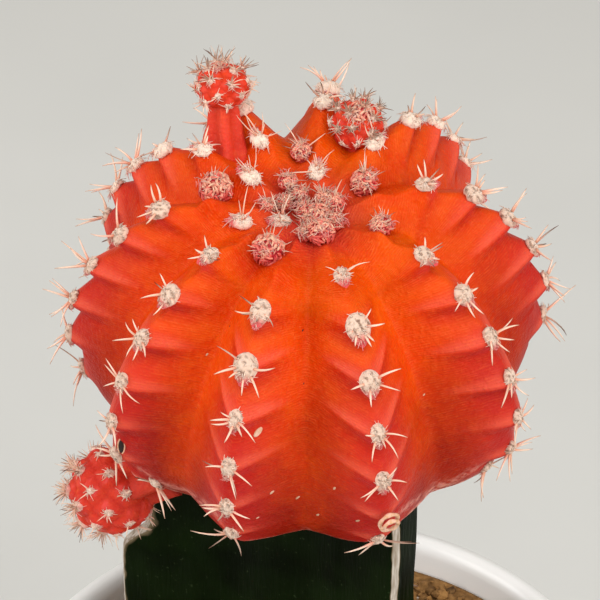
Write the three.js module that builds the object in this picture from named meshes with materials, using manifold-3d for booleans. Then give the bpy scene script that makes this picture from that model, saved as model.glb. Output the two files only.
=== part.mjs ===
// A potted moon cactus: an orange ribbed scion grafted on a dark three-angled stock,
// which stands in soil in a plain white pot. Millimetres, +Z up, the origin on the table
// under the pot's axis. Azimuth 0 faces the front (-Y) and grows towards +X.

import * as THREE from 'three';
import { mergeVertices } from 'three/addons/utils/BufferGeometryUtils.js';
import Module from 'manifold-3d';

const wasm = await Module();
wasm.setup();

// Pot: radius and height along its outside, from the foot ring up to the top of the rim,
// and along its inside, from the floor up. The drainage hole goes through the floor
const potOutside = [
  [20, 1.5], [20.5, 0], [23.5, 0], [24.5, 1.2], [29.2, 30], [32.2, 46], [33.3, 52],
  [34, 56.5], [34, 58.6], [33.4, 59.6], [32.4, 60],
];
const potInside = [[19.5, 4], [21.5, 6], [26.4, 28], [29.4, 45], [30.9, 55], [31.1, 58.8], [31.6, 59.7]];
const drainRadius = 5;
const potSides = 48;

// Soil: the height of its top, how rough that is, and the gap round whatever it holds
const soilTop = 56;
const soilRelief = 0.9;
const soilSeed = 7;
const fitGap = 0.3;

// Rootstock
const stockWaist = 8.2;
const stockWingAngle = 13;
const stockTurn = 28.7;
const stockFoot = 28;
const stockShoulderHeight = 86;
const stockAreoleHeight = 88;
const stockWingShift = 9;
const stockLobeSpacing = 26;
const stockLobeDepth = 1.1;
const stockTopBevel = 1.2;

// Its wings, each a third of a turn from the last: how far they reach, and how far they
// step in above the shoulder, where they were trimmed for the graft
const stockWings = [
  { reach: 19, shoulder: 0.4 },
  { reach: 19, shoulder: 1 },
  { reach: 20.2, shoulder: 3 },
];

// Scion, in a frame of its own with the plant's axis along Z and its widest level at 0
const scionCentreHeight = 118;
const scionTilt = 12;
const graftHeight = 102.5;
const areoleSpacing = 5.7;
const areoleRows = 7;
const furrowDepth = 4.9;
const crestRounding = 0.1;
const chinHeight = 0.85;
const foldHeight = 0.35;
const lipDroop = 3.6;
const woolRadius = 1.15;
const spineRadius = 0.31;
const spineLength = 2.5;
const spinesPerAreole = 5;
const spineSeed = 11;

// Height and radius of a rib's crest, from the crown down to the base
const crestProfile = [
  [0, 13.2], [3, 13.6], [7, 15], [11, 15.6], [14.5, 14.6], [18, 11.8], [21.2, 7.4],
  [23.6, 2.4], [24.8, -3], [24.4, -8], [22.6, -12.8], [18.7, -17.5], [12, -20.5], [0, -22],
];

// The ribs in order round the plant: azimuth, the first areole's distance from the apex
// along the crest, how far the rib reaches, and how much its shoulder stands up
const ribs = [
  { azimuth: -153, first: 5.0, reach: 1, lift: 0.3 },
  { azimuth: -123, first: 7.4, reach: 1.03, lift: 0 },
  { azimuth: -90, first: 10.0, reach: 1.01, lift: 0 },
  { azimuth: -55, first: 7.0, reach: 1, lift: 0 },
  { azimuth: -20, first: 9.4, reach: 1, lift: 0 },
  { azimuth: 17.5, first: 10.8, reach: 1, lift: 0 },
  { azimuth: 59, first: 8.0, reach: 1, lift: 0 },
  { azimuth: 100, first: 6.4, reach: 1.01, lift: 0.3 },
  { azimuth: 139, first: 10.2, reach: 1.03, lift: 0.5 },
  { azimuth: 174, first: 7.8, reach: 1, lift: 1 },
];

// Offsets: where each one's middle is, the way it grows, its radius, half its length and
// the point on the scion where its neck starts, all in the scion's frame
const offsets = [
  { middle: [-21.1, -9.6, -19.7], grows: [-0.92, 0.1, -0.36], radius: 4.8, half: 5.1,
    root: [-15.5, -9.5, -15.5], neck: 2.6 },
  { middle: [-9, 13, 18.7], grows: [-0.1, 0.35, 0.93], radius: 2.75, half: 2.4,
    root: [-8.5, 7.5, 10.5], neck: 1.9 },
  { middle: [5, 10.6, 16.4], grows: [0.1, -0.1, 1], radius: 2.7, half: 2.8,
    root: [4.2, 10.8, 12], neck: 1.7 },
];

// Woolly flower buds on the crown: azimuth, distance from the apex along the crest, radius
const buds = [
  [-99, 10, 1.9], [-36, 7.8, 1.85], [124, 7, 1.9], [72, 8, 1.4], [-172, 7.8, 1.4],
  [-148, 5, 1.1], [60, 1.4, 2], [-70, 1.8, 1.6], [160, 1.6, 1.6], [5, 2.9, 1.4],
  [-120, 3.6, 1.3], [108, 4, 1.4], [-30, 4.3, 1.3], [-75, 4.6, 1.2],
];

const radians = THREE.MathUtils.degToRad;
const lerp = THREE.MathUtils.lerp;
const smoothstep = THREE.MathUtils.smoothstep;

function seeded(seed) {
  let state = seed;
  return () => {
    state = (state + 0x6d2b79f5) | 0;
    let mixed = Math.imul(state ^ (state >>> 15), 1 | state);
    mixed = (mixed + Math.imul(mixed ^ (mixed >>> 7), 61 | mixed)) ^ mixed;
    return ((mixed ^ (mixed >>> 14)) >>> 0) / 4294967296;
  };
}

// Direction in the level plane at an azimuth
function outward(azimuth) {
  return new THREE.Vector3(Math.sin(radians(azimuth)), -Math.cos(radians(azimuth)), 0);
}

// Closed mesh from rings of points that all have the same count, with one point at each end
function ringSolid(start, rings, end) {
  const count = rings[0].length;
  const points = [start, ...rings.flat(), end];
  const last = points.length - 1;
  const faces = [];
  for (let i = 0; i < count; i += 1) {
    const next = (i + 1) % count;
    faces.push(0, 1 + i, 1 + next);
    for (let row = 0; row < rings.length - 1; row += 1) {
      const a = 1 + row * count + i;
      const b = 1 + row * count + next;
      faces.push(a, a + count, b, b, a + count, b + count);
    }
    const base = 1 + (rings.length - 1) * count;
    faces.push(base + i, last, base + next);
  }
  const geometry = new THREE.BufferGeometry().setFromPoints(points);
  geometry.setIndex(faces);
  return signedVolume(geometry) < 0 ? flipped(geometry) : geometry;
}

function signedVolume(geometry) {
  const place = geometry.attributes.position;
  const index = geometry.index.array;
  const [a, b, c] = [new THREE.Vector3(), new THREE.Vector3(), new THREE.Vector3()];
  let volume = 0;
  for (let i = 0; i < index.length; i += 3) {
    a.fromBufferAttribute(place, index[i]);
    b.fromBufferAttribute(place, index[i + 1]);
    c.fromBufferAttribute(place, index[i + 2]);
    volume += a.dot(b.cross(c)) / 6;
  }
  return volume;
}

function flipped(geometry) {
  const index = Array.from(geometry.index.array);
  for (let i = 0; i < index.length; i += 3) {
    [index[i + 1], index[i + 2]] = [index[i + 2], index[i + 1]];
  }
  geometry.setIndex(index);
  return geometry;
}

function toManifold(geometry) {
  const bare = geometry.clone();
  bare.deleteAttribute('normal');
  bare.deleteAttribute('uv');
  const merged = mergeVertices(bare);
  return new wasm.Manifold(new wasm.Mesh({
    numProp: 3,
    vertProperties: new Float32Array(merged.attributes.position.array),
    triVerts: new Uint32Array(merged.index.array),
  }));
}

function fromManifold(solid) {
  const mesh = solid.getMesh();
  const geometry = new THREE.BufferGeometry();
  geometry.setAttribute('position', new THREE.BufferAttribute(mesh.vertProperties, 3));
  geometry.setIndex(new THREE.BufferAttribute(mesh.triVerts, 1));
  return geometry;
}

// One body from overlapping ones, less the room that another piece needs. The outermost
// shell alone is kept, so a hollow that the fusing seals is filled
function fused(geometries, room) {
  const whole = geometries.map(toManifold).reduce((sum, part) => sum.add(part));
  const shells = whole.subtract(toManifold(room)).decompose();
  return fromManifold(shells.reduce((a, b) => (b.volume() > a.volume() ? b : a)));
}

// Pot: one turned wall with a rounded rim, a foot ring and a drainage hole
function potGeometry() {
  const footHeight = potOutside[0][1];
  const floorHeight = potInside[0][1];
  const profile = [
    [drainRadius, footHeight], ...potOutside, ...potInside.toReversed(),
    [drainRadius, floorHeight], [drainRadius, footHeight],
  ];
  const outline = profile.map(([radius, height]) => new THREE.Vector2(radius, height));
  const geometry = new THREE.LatheGeometry(outline, potSides);
  geometry.rotateX(Math.PI / 2);
  return geometry;
}

// Radius that the soil fills at a height, just inside the pot's wall
function soilRadius(height) {
  const above = Math.max(1, potInside.findIndex(([, level]) => level >= height));
  const [lowRadius, low] = potInside[above - 1];
  const [highRadius, high] = potInside[above];
  return lerp(lowRadius, highRadius, (height - low) / (high - low)) - fitGap;
}

// Rootstock's outline: a waist with three thin wings.
// radius = waist + (reach - waist) * exp(-(angle from the wing / wing angle) ^ 1.2)
function stockRadius(azimuth, reach) {
  const turned = THREE.MathUtils.euclideanModulo(azimuth - stockTurn + 60, 120) - 60;
  const share = Math.exp(-((Math.abs(turned) / stockWingAngle) ** 1.2));
  return stockWaist + (reach - stockWaist) * share;
}

function nearestWing(azimuth) {
  return THREE.MathUtils.euclideanModulo(Math.round((azimuth - stockTurn) / 120), 3);
}

// A wing's reach at a height: it dips at each areole, and its top edge is bevelled
function stockReachAt(azimuth, height) {
  const wing = nearestWing(azimuth);
  const { reach, shoulder } = stockWings[wing];
  const phase = (height - stockAreoleHeight - wing * stockWingShift) / stockLobeSpacing;
  const dip = Math.abs(Math.cos(Math.PI * phase)) ** 6;
  const trim = smoothstep(height, stockShoulderHeight - 2, stockShoulderHeight + 2);
  const bevel = stockTopBevel * smoothstep(height, graftHeight - 2, graftHeight);
  return reach - stockLobeDepth * dip - shoulder * trim - bevel;
}

// Azimuths that follow the wings closely and the hollow faces loosely
function stockAzimuths() {
  const steps = [-60, -42, -30, -20, -12, -7, -3.5, 0, 3.5, 7, 12, 20, 30, 42];
  return [0, 1, 2].flatMap((wing) => steps.map((step) => stockTurn + wing * 120 + step));
}

function stockRing(height) {
  return stockAzimuths().map((azimuth) => {
    const radius = stockRadius(azimuth, stockReachAt(azimuth, height));
    return outward(azimuth).multiplyScalar(radius).setZ(height);
  });
}

// The hole for the stock: its undipped outline moved out by the gap, edge by edge
function holeOutline() {
  const points = stockAzimuths().map((azimuth) => (
    outward(azimuth).multiplyScalar(stockRadius(azimuth, stockWings[nearestWing(azimuth)].reach))));
  const edgeNormal = (from, to) => new THREE.Vector3(to.y - from.y, from.x - to.x, 0).normalize();
  return points.map((point, index) => {
    const before = edgeNormal(points.at(index - 1), point);
    const after = edgeNormal(point, points[(index + 1) % points.length]);
    const mitre = before.clone().add(after).divideScalar(1 + before.dot(after));
    return point.clone().addScaledVector(mitre, fitGap);
  });
}

function stockGeometry() {
  const levels = [stockFoot];
  for (let level = stockFoot + 6; level < graftHeight - 3; level += 4.4) {
    levels.push(level);
  }
  levels.push(graftHeight - 2, graftHeight);
  const rings = levels.map((level) => stockRing(level));
  const foot = new THREE.Vector3(0, 0, stockFoot);
  const top = new THREE.Vector3(0, 0, graftHeight);
  return ringSolid(foot, rings, top);
}

// Soil: fills the pot to below its rim, with a gritty top and a plain hole for the stock
function soilGeometry() {
  const random = seeded(soilSeed);
  const hole = holeOutline();
  const rings = [stockFoot, soilTop].map((level) => hole.map((point) => point.clone().setZ(level)));
  for (const share of [0.14, 0.34, 0.56, 0.78]) {
    rings.push(hole.map((point) => {
      const reach = lerp(point.length(), soilRadius(soilTop), share);
      return point.clone().setLength(reach).setZ(soilTop + (random() - 0.5) * 2 * soilRelief);
    }));
  }
  const floorHeight = potInside[0][1];
  const wallLevels = potInside.map(([, height]) => height).filter((height) => height < soilTop);
  for (const level of [soilTop, ...wallLevels.reverse()]) {
    rings.push(stockAzimuths().map((azimuth) => (
      outward(azimuth).multiplyScalar(soilRadius(level)).setZ(level))));
  }
  const middle = new THREE.Vector3();
  return ringSolid(middle.clone().setZ(stockFoot), rings, middle.clone().setZ(floorHeight));
}

// Crest curve with its arc lengths, sampled once
const crestCurve = new THREE.SplineCurve(crestProfile.map(([r, z]) => new THREE.Vector2(r, z)));
crestCurve.arcLengthDivisions = 560;
const crestLength = crestCurve.getLength();

function crestAt(distance) {
  const share = THREE.MathUtils.clamp(distance / crestLength, 0, 1);
  const point = crestCurve.getPointAt(share);
  const along = crestCurve.getTangentAt(share);
  return { point, along, normal: new THREE.Vector2(-along.y, along.x) };
}

// Relief along a rib: it rises slowly to a chin just under each areole and then drops.
// phase is counted in areoles, and side runs from 0 on the crest to 1 in the furrow
const chinPhase = 0.16;
const notchPhase = 0.34;

function relief(phase, side, distance) {
  const past = THREE.MathUtils.euclideanModulo(phase - notchPhase, 1);
  const climb = 1 - notchPhase + chinPhase;
  const saw = past < climb ? past / climb : 1 - smoothstep(past, climb, 1);
  const height = chinHeight * Math.exp(-((side / 0.25) ** 2)) + foldHeight * (1 - side ** 4);
  return (saw - 0.75) * height * smoothstep(distance, 3, 9) * (1 - smoothstep(distance, 46, 50));
}

// The scion's surface between one rib and the next, across from 0 to 1. Each point lies
// under the crest curve by furrow depth * (1.25 side - 0.25 side^2), plus the relief
function scionPoint(index, across, distance) {
  const here = ribs[index];
  const next = ribs[(index + 1) % ribs.length];
  const gap = THREE.MathUtils.euclideanModulo(next.azimuth - here.azimuth, 360);
  const azimuth = here.azimuth + gap * across;
  const rounded = Math.hypot(1 - Math.abs(2 * across - 1), crestRounding) - crestRounding;
  const side = rounded / (Math.hypot(1, crestRounding) - crestRounding);
  const first = lerp(here.first, next.first, across);
  const reach = lerp(here.reach, next.reach, across);
  const lift = lerp(here.lift, next.lift, across) * smoothstep(distance, 4, 14)
    * (1 - smoothstep(distance, 20, 36));
  const { point, normal } = crestAt(distance);
  const inwards = new THREE.Vector2(normal.x, normal.y * 0.6).normalize();
  const depth = furrowDepth * (gap / 36) ** 0.6 * smoothstep(distance, 0, 18)
    * (1 - 0.6 * smoothstep(distance, 32, 48) - 0.3 * smoothstep(distance, 48, 62));
  const sunk = depth * (1.25 * side - 0.25 * side ** 2)
    - relief((distance - first) / areoleSpacing, side, distance);
  const radius = Math.max(0, point.x * reach - inwards.x * sunk);
  return outward(azimuth).multiplyScalar(radius).setZ(point.y + lift - inwards.y * sunk);
}

// From the scion's frame to the frame of the pot, whose origin here is the scion's centre
function tilted(point) {
  return point.clone().applyAxisAngle(new THREE.Vector3(1, 0, 0), radians(scionTilt));
}

// The underside is cut level with the graft, apart from a lip that hangs before the stock
function undersideHeight(point) {
  const azimuth = THREE.MathUtils.radToDeg(Math.atan2(point.x, -point.y));
  const face = outward(stockTurn - 60);
  const beyond = point.x * face.x + point.y * face.y - stockWings[0].reach * Math.cos(radians(60));
  const lip = smoothstep(beyond, 0.7, 2.2) * smoothstep(azimuth, -55, -38)
    * (1 - smoothstep(azimuth, 23, 28));
  return graftHeight - scionCentreHeight - lipDroop * lip;
}

function scionSurface(index, across, distance) {
  const point = tilted(scionPoint(index, across, distance));
  return point.setZ(Math.max(point.z, undersideHeight(point)));
}

function scionBody() {
  const columns = [0, 0.12, 0.3, 0.5, 0.7, 0.88];
  const phases = [];
  for (let row = 0; row < areoleRows; row += 1) {
    phases.push(row + chinPhase, row + notchPhase);
  }
  const rings = [];
  const ring = (distanceAt) => ribs.flatMap((rib, index) => columns.map((across) => {
    const first = lerp(rib.first, ribs[(index + 1) % ribs.length].first, across);
    return scionSurface(index, across, distanceAt(first));
  }));
  for (const share of [0.3, 0.65]) {
    rings.push(ring((first) => first * share));
  }
  for (const phase of phases) {
    rings.push(ring((first) => first + phase * areoleSpacing));
  }
  for (const share of [0, 0.25, 0.5, 0.75]) {
    rings.push(ring((first) => lerp(first + areoleRows * areoleSpacing, crestLength, share)));
  }
  const apex = tilted(new THREE.Vector3(0, 0, crestProfile[0][1]));
  const base = new THREE.Vector3(0, 0, graftHeight - scionCentreHeight);
  return ringSolid(apex, rings, base);
}

// Draws three-sided spines out of a closed mesh. Each one stands on the face that looks
// most nearly along it, on a smaller triangle inside that face where the face is wide
function withSpines(geometry, spines) {
  const place = geometry.attributes.position;
  const points = Array.from({ length: place.count }, (unused, index) => (
    new THREE.Vector3().fromBufferAttribute(place, index)));
  const index = geometry.index.array;
  const faces = [];
  for (let i = 0; i < index.length; i += 3) {
    const corners = [index[i], index[i + 1], index[i + 2]];
    const triangle = new THREE.Triangle(...corners.map((corner) => points[corner]));
    faces.push({
      corners,
      normal: triangle.getNormal(new THREE.Vector3()),
      middle: triangle.getMidpoint(new THREE.Vector3()),
      free: true,
    });
  }
  const result = [];
  for (const spine of spines) {
    const direction = spine.direction.clone().normalize();
    const facing = (face) => (face.free ? face.normal.dot(direction) : -2);
    const face = faces.reduce((best, other) => (facing(other) > facing(best) ? other : best));
    face.free = false;
    const { corners, middle } = face;
    const wide = Math.max(...corners.map((corner) => points[corner].distanceTo(middle)));
    const share = spineRadius * 1.5 / wide;
    const tip = points.push(middle.clone().addScaledVector(direction, spine.length)) - 1;
    const foot = share > 0.8 ? corners : corners.map((corner) => (
      points.push(middle.clone().lerp(points[corner], share)) - 1));
    for (const [one, two] of [[0, 1], [1, 2], [2, 0]]) {
      result.push(foot[one], foot[two], tip);
      if (foot !== corners) {
        result.push(corners[one], corners[two], foot[two], corners[one], foot[two], foot[one]);
      }
    }
  }
  faces.filter((face) => face.free).forEach((face) => result.push(...face.corners));
  const spiny = new THREE.BufferGeometry().setFromPoints(points);
  spiny.setIndex(result);
  return spiny;
}

// The directions at an areole: out of the rib, up along it and across it
function areoleFrame(rib, distance) {
  const { point, along, normal } = crestAt(distance);
  const out = outward(rib.azimuth);
  const lift = (radial, height) => tilted(out.clone().multiplyScalar(radial).setZ(height));
  const direction = lift(normal.x, normal.y).normalize();
  const upwards = lift(-along.x, -along.y).normalize();
  const sideways = upwards.clone().cross(direction).normalize();
  const grown = relief(0, 0, distance);
  const rise = rib.lift * smoothstep(distance, 4, 14) * (1 - smoothstep(distance, 20, 36));
  const place = lift(point.x * rib.reach + normal.x * grown, point.y + rise + normal.y * grown);
  return { place, normal: direction, upwards, sideways };
}

// A direction at an areole, from its turn away from the way down and its rise off the skin
function fanned(frame, turn, rise) {
  return frame.upwards.clone().multiplyScalar(-Math.cos(turn) * Math.cos(rise))
    .addScaledVector(frame.sideways, Math.sin(turn) * Math.cos(rise))
    .addScaledVector(frame.normal, Math.sin(rise));
}

// Areole: a low woolly dome sunk in the crest, with a fan of spines that opens downwards
function areoleGeometry(frame, radius, random) {
  const sides = 5;
  const levels = [[0.8, -0.7], [1, 0.05], [0.6, 0.55]];
  const at = (reach, height, turn) => frame.place.clone()
    .addScaledVector(frame.normal, height * radius)
    .addScaledVector(frame.sideways, Math.cos(turn) * reach * radius)
    .addScaledVector(frame.upwards, Math.sin(turn) * reach * radius * 1.1);
  const rings = levels.map(([reach, height], row) => Array.from({ length: sides }, (unused, side) => (
    at(reach, height, (side + row / 2) * Math.PI * 2 / sides))));
  const pad = ringSolid(at(0, -0.8, 0), rings, at(0, 0.75, 0));
  const spines = Array.from({ length: spinesPerAreole }, (unused, index) => {
    const share = index / (spinesPerAreole - 1);
    const turn = radians(lerp(-125, 125, share) + (random() - 0.5) * 30);
    return {
      direction: fanned(frame, turn, radians(25 + random() * 25)),
      length: spineLength * (0.8 + 0.4 * random()),
    };
  });
  return withSpines(pad, spines);
}

function scionAreoles(random) {
  return ribs.flatMap((rib) => {
    const distances = Array.from({ length: areoleRows }, (unused, row) => (
      rib.first + row * areoleSpacing));
    return distances.filter((distance) => distance > 8.5 && distance < 47).map((distance) => {
      const radius = woolRadius * (1 - 0.3 * smoothstep(distance, 34, 46));
      return areoleGeometry(areoleFrame(rib, distance), radius, random);
    });
  });
}

// Offset: a small head on a neck. Its radius swells and sinks between tubercles that
// alternate from ring to ring, with a spine on each and more of them on its crown
function offsetGeometries(offset, random) {
  const middle = tilted(new THREE.Vector3(...offset.middle));
  const root = tilted(new THREE.Vector3(...offset.root));
  const axis = tilted(new THREE.Vector3(...offset.grows)).normalize();
  const aside = new THREE.Vector3(0.2, 0.9, 0.4).cross(axis).normalize();
  const around = (angle) => aside.clone().applyAxisAngle(axis, angle);
  const sides = 10;
  const levels = [0.5, 1.05, 1.6, 2.1, 2.6];
  const rings = levels.map((level, row) => Array.from({ length: sides }, (unused, side) => {
    const bump = (side + row) % 2 === 0 ? 1.07 : 0.9;
    return middle.clone().addScaledVector(axis, Math.cos(level) * offset.half * bump)
      .addScaledVector(around(side * Math.PI * 2 / sides), Math.sin(level) * offset.radius * bump);
  }));
  const head = ringSolid(middle.clone().addScaledVector(axis, offset.half * 0.92), rings,
    middle.clone().addScaledVector(axis, -offset.half));
  const stem = middle.clone().sub(root);
  const neck = new THREE.CylinderGeometry(offset.neck, offset.neck * 1.25, stem.length(), 8);
  neck.applyQuaternion(new THREE.Quaternion().setFromUnitVectors(
    new THREE.Vector3(0, 1, 0), stem.clone().normalize()));
  neck.translate(...middle.clone().add(root).multiplyScalar(0.5).toArray());
  const spines = [[0.3, 4], [0.8, 5], [1.3, 5], [1.8, 4]].flatMap(([level, count], row) => (
    Array.from({ length: count }, (unused, turn) => ({
      direction: axis.clone().multiplyScalar(Math.cos(level))
        .addScaledVector(around((turn + row / 2) * Math.PI * 2 / count), Math.sin(level)),
      length: 1.6 + random() * 0.8,
    }))));
  return [withSpines(head, spines), neck];
}

// Buds on the crown: small knobs, each with a ring of short spines
function budGeometries(random) {
  return buds.map(([azimuth, distance, radius]) => {
    const frame = areoleFrame({ azimuth, reach: 1, lift: 0 }, distance);
    const centre = frame.place.clone().addScaledVector(frame.normal, radius * 0.25);
    const sphere = new THREE.OctahedronGeometry(radius, 1);
    sphere.translate(...centre.toArray());
    sphere.deleteAttribute('normal');
    sphere.deleteAttribute('uv');
    const spines = Array.from({ length: 6 }, (unused, index) => ({
      direction: fanned(frame, index * Math.PI / 3, radians(30 + random() * 25)),
      length: 1.2 + random() * 0.6,
    }));
    return withSpines(mergeVertices(sphere), spines);
  });
}

// Room for the stock's top behind the lip, with the same gap round it as in the soil
function stockRoom() {
  const levels = [graftHeight - 3 * lipDroop, graftHeight];
  const [low, high] = levels.map((level) => level - scionCentreHeight);
  const rings = [low, high].map((level) => holeOutline().map((point) => point.setZ(level)));
  return ringSolid(new THREE.Vector3(0, 0, low), rings, new THREE.Vector3(0, 0, high));
}

function scionGeometry() {
  const random = seeded(spineSeed);
  return fused([
    scionBody(),
    ...offsets.flatMap((offset) => offsetGeometries(offset, random)),
    ...budGeometries(random),
    ...scionAreoles(random),
  ], stockRoom());
}

function addPiece(parent, name, geometry, color, roughness) {
  const material = new THREE.MeshStandardMaterial({ color, roughness, metalness: 0 });
  const mesh = new THREE.Mesh(geometry, material);
  mesh.name = name;
  parent.add(mesh);
  return mesh;
}

const group = new THREE.Group();
addPiece(group, 'pot', potGeometry(), 0xf3f3ef, 0.25);
addPiece(group, 'soil', soilGeometry(), 0x8a6840, 0.95);
addPiece(group, 'rootstock', stockGeometry(), 0x1c2c10, 0.55);
addPiece(group, 'scion', scionGeometry(), 0xee4014, 0.45).position.set(0, 0, scionCentreHeight);

export default group;
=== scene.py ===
# Potted moon cactus: an orange ribbed scion grafted on a dark winged rootstock, standing in
# soil in a white pot. Shapes are worked out in millimetres and put into the meshes in metres.
# Azimuth 0 faces the camera (-Y) and grows towards +X.

import math

import bpy
import numpy as np
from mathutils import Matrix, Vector


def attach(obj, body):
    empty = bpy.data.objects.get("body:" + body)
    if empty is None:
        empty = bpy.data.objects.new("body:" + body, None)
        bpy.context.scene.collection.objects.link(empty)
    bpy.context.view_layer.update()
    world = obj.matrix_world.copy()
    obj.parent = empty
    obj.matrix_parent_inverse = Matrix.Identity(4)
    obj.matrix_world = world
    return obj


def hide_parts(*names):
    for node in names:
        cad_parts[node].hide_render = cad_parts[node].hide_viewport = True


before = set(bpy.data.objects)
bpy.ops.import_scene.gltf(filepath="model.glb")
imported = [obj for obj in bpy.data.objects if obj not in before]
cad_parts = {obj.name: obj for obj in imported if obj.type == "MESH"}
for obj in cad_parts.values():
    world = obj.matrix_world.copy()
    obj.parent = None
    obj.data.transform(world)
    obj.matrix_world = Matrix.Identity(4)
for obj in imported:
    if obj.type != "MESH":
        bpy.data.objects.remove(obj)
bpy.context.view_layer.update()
rng = np.random.default_rng(41)
mm = 0.001


# sRGB hex to linear: c / 12.92 below 0.04045, ((c + 0.055) / 1.055) ^ 2.4 above it
def linear(hexCode):
    c = np.array([int(hexCode[i:i + 2], 16) for i in (1, 3, 5)]) / 255
    return (*np.where(c <= 0.04045, c / 12.92, ((c + 0.055) / 1.055) ** 2.4).tolist(), 1.0)


# eased step from 0 at low to 1 at high: t * t * (3 - 2 t)
def smooth(x, low, high):
    t = np.clip((x - low) / (high - low), 0, 1)
    return t * t * (3 - 2 * t)


# vectors divided by their lengths
def unit(vectors):
    return vectors / np.maximum(np.linalg.norm(vectors, axis=-1, keepdims=True), 1e-9)


# exp(-(x / width)^2): 1 at 0, falling off evenly to both sides
def bell(x, width):
    return np.exp(-((x / width) ** 2))


# level direction at an azimuth in degrees: (sin, -cos, 0)
def outward(azimuth):
    a = np.radians(azimuth)
    return np.stack([np.sin(a), -np.cos(a), np.zeros_like(a)], -1)


# degrees between an azimuth and the front, from 0 to 180
def fromFront(azimuth):
    return np.abs(np.mod(azimuth + 180, 360) - 180)


# angles in even steps once round a circle
def turns(count):
    return np.arange(count) * 2 * math.pi / count


# points round a circle or an oval: cos a * aside + sin a * upright
def circle(a, aside, upright):
    return np.cos(a)[:, None] * aside + np.sin(a)[:, None] * upright


skyward = np.array([0, 0, 1.0])


# soft lumps: 1.8 times the mean of sine waves in random directions, each about size long
def lumps(points, size, seed, waves=9):
    random = np.random.default_rng(seed)
    directions = unit(random.normal(size=(waves, 3)))
    waveNumbers = directions * 2 * math.pi / (size * random.uniform(0.7, 1.5, (waves, 1)))
    return np.sin(points @ waveNumbers.T + random.uniform(0, 6.3, waves)).mean(-1) * 1.8


# quads between neighbouring points of a grid that closes on itself along its columns
def gridFaces(rows, columns):
    r = np.arange(rows - 1)[:, None] * columns
    c = np.arange(columns)[None, :]
    n = (c + 1) % columns
    return np.stack([r + c, r + columns + c, r + columns + n, r + n], -1).reshape(-1, 4)


# a grid of rings closed by one pole at each end, turned so that its faces point outwards
def closedSurface(rings, startPole, endPole):
    rows, columns = rings.shape[:2]
    points = np.concatenate([rings.reshape(-1, 3), [startPole], [endPole]])
    c = np.arange(columns)
    n, last = (c + 1) % columns, (rows - 1) * columns
    start = np.stack([np.full(columns, rows * columns), c, n], -1)
    end = np.stack([np.full(columns, rows * columns + 1), last + n, last + c], -1)
    faces = [gridFaces(rows, columns), np.concatenate([start, end])]
    return points, faces if volume(points, faces) > 0 else [f[:, ::-1] for f in faces]


# sum of the tetrahedra from the origin to each face: a . (b x c) / 6
def volume(points, faces):
    total = 0
    for f in faces:
        for k in range(1, f.shape[1] - 1):
            a, b, c = (points[f[:, i]] for i in (0, k, k + 1))
            total += np.einsum("ij,ij->i", a, np.cross(b, c)).sum() / 6
    return total


# closed tubes: ring point = path + radius * (cos a * side + sin a * up), square to the path
def tubes(paths, radii, sides):
    count, steps = radii.shape
    along = unit(np.gradient(paths, axis=1))
    side = unit(np.cross(along, unit(rng.normal(size=(count, 1, 3)))))
    up = np.cross(along, side)
    ring = circle(turns(sides), side[:, :, None], up[:, :, None])
    points = (paths[:, :, None] + radii[:, :, None, None] * ring).reshape(-1, 3)
    shift = (np.arange(count) * steps * sides)[:, None, None]
    first = np.arange(sides)
    caps = np.stack([first, (steps - 1) * sides + first[::-1]])
    faces = [(gridFaces(steps, sides) + shift).reshape(-1, 4), (caps + shift).reshape(-1, sides)]
    return points, faces if volume(points, faces) > 0 else [f[:, ::-1] for f in faces]


# rings on a ball of radius 1: (sin b cos a, sin b sin a, cos b), b from start to pi - start
def ballRings(rows, columns, start):
    a = turns(columns)
    b = np.linspace(start, math.pi - start, rows)[:, None]
    return np.stack([np.sin(b) * np.cos(a), np.sin(b) * np.sin(a), np.cos(b) + 0 * a], -1)


# several surfaces as one list of points and faces
def joined(parts):
    points, faces, start = [], [], 0
    for p, f in parts:
        points.append(p)
        faces += [g + start for g in f]
        start += len(p)
    return np.concatenate(points), faces


# many closed surfaces in one, from a grid and two poles for each
def closedSurfaces(grids, startPoles, endPoles):
    return joined([closedSurface(*parts) for parts in zip(grids, startPoles, endPoles)])


# a piece from points and faces, with values on its points for its material to read
def makePiece(name, surface, material, node, values=None, smoothed=True):
    points, faceSets = surface
    mesh = bpy.data.meshes.new(name)
    corners = np.concatenate([f.ravel() for f in faceSets]).astype(np.int32)
    sizes = np.concatenate([np.full(len(f), f.shape[1]) for f in faceSets])
    starts = np.concatenate([[0], np.cumsum(sizes)[:-1]]).astype(np.int32)
    mesh.vertices.add(len(points))
    mesh.vertices.foreach_set("co", (points * mm).astype(np.float32).ravel())
    mesh.loops.add(len(corners))
    mesh.loops.foreach_set("vertex_index", corners)
    mesh.polygons.add(len(sizes))
    mesh.polygons.foreach_set("loop_start", starts)
    mesh.polygons.foreach_set("use_smooth", np.full(len(sizes), smoothed))
    for key, value in (values or {}).items():
        wide = np.ndim(value) == 2
        attribute = mesh.attributes.new(key, "FLOAT_VECTOR" if wide else "FLOAT", "POINT")
        attribute.data.foreach_set("vector" if wide else "value", np.asarray(value, np.float32).ravel())
    mesh.update(calc_edges=True)
    mesh.validate()
    mesh.materials.append(material)
    piece = bpy.data.objects.new(name, mesh)
    bpy.context.scene.collection.objects.link(piece)
    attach(piece, "root")
    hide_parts(node)
    print(name, len(points), "points", int((sizes - 2).sum()), "triangles")


# a shader node with its own settings, and numbers, colours or other nodes' outputs on its sockets,
# by number or by name; gives the output that the next node reads
def addNode(tree, kind, sockets=(), output=0, **settings):
    node = tree.nodes.new("ShaderNode" + kind)
    for key, value in settings.items():
        setattr(node, key, value)
    for key, value in sockets.items() if isinstance(sockets, dict) else enumerate(sockets):
        if isinstance(value, bpy.types.NodeSocket):
            tree.links.new(value, node.inputs[key])
        else:
            node.inputs[key].default_value = value
    return node.outputs[output] if len(node.outputs) else None


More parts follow.
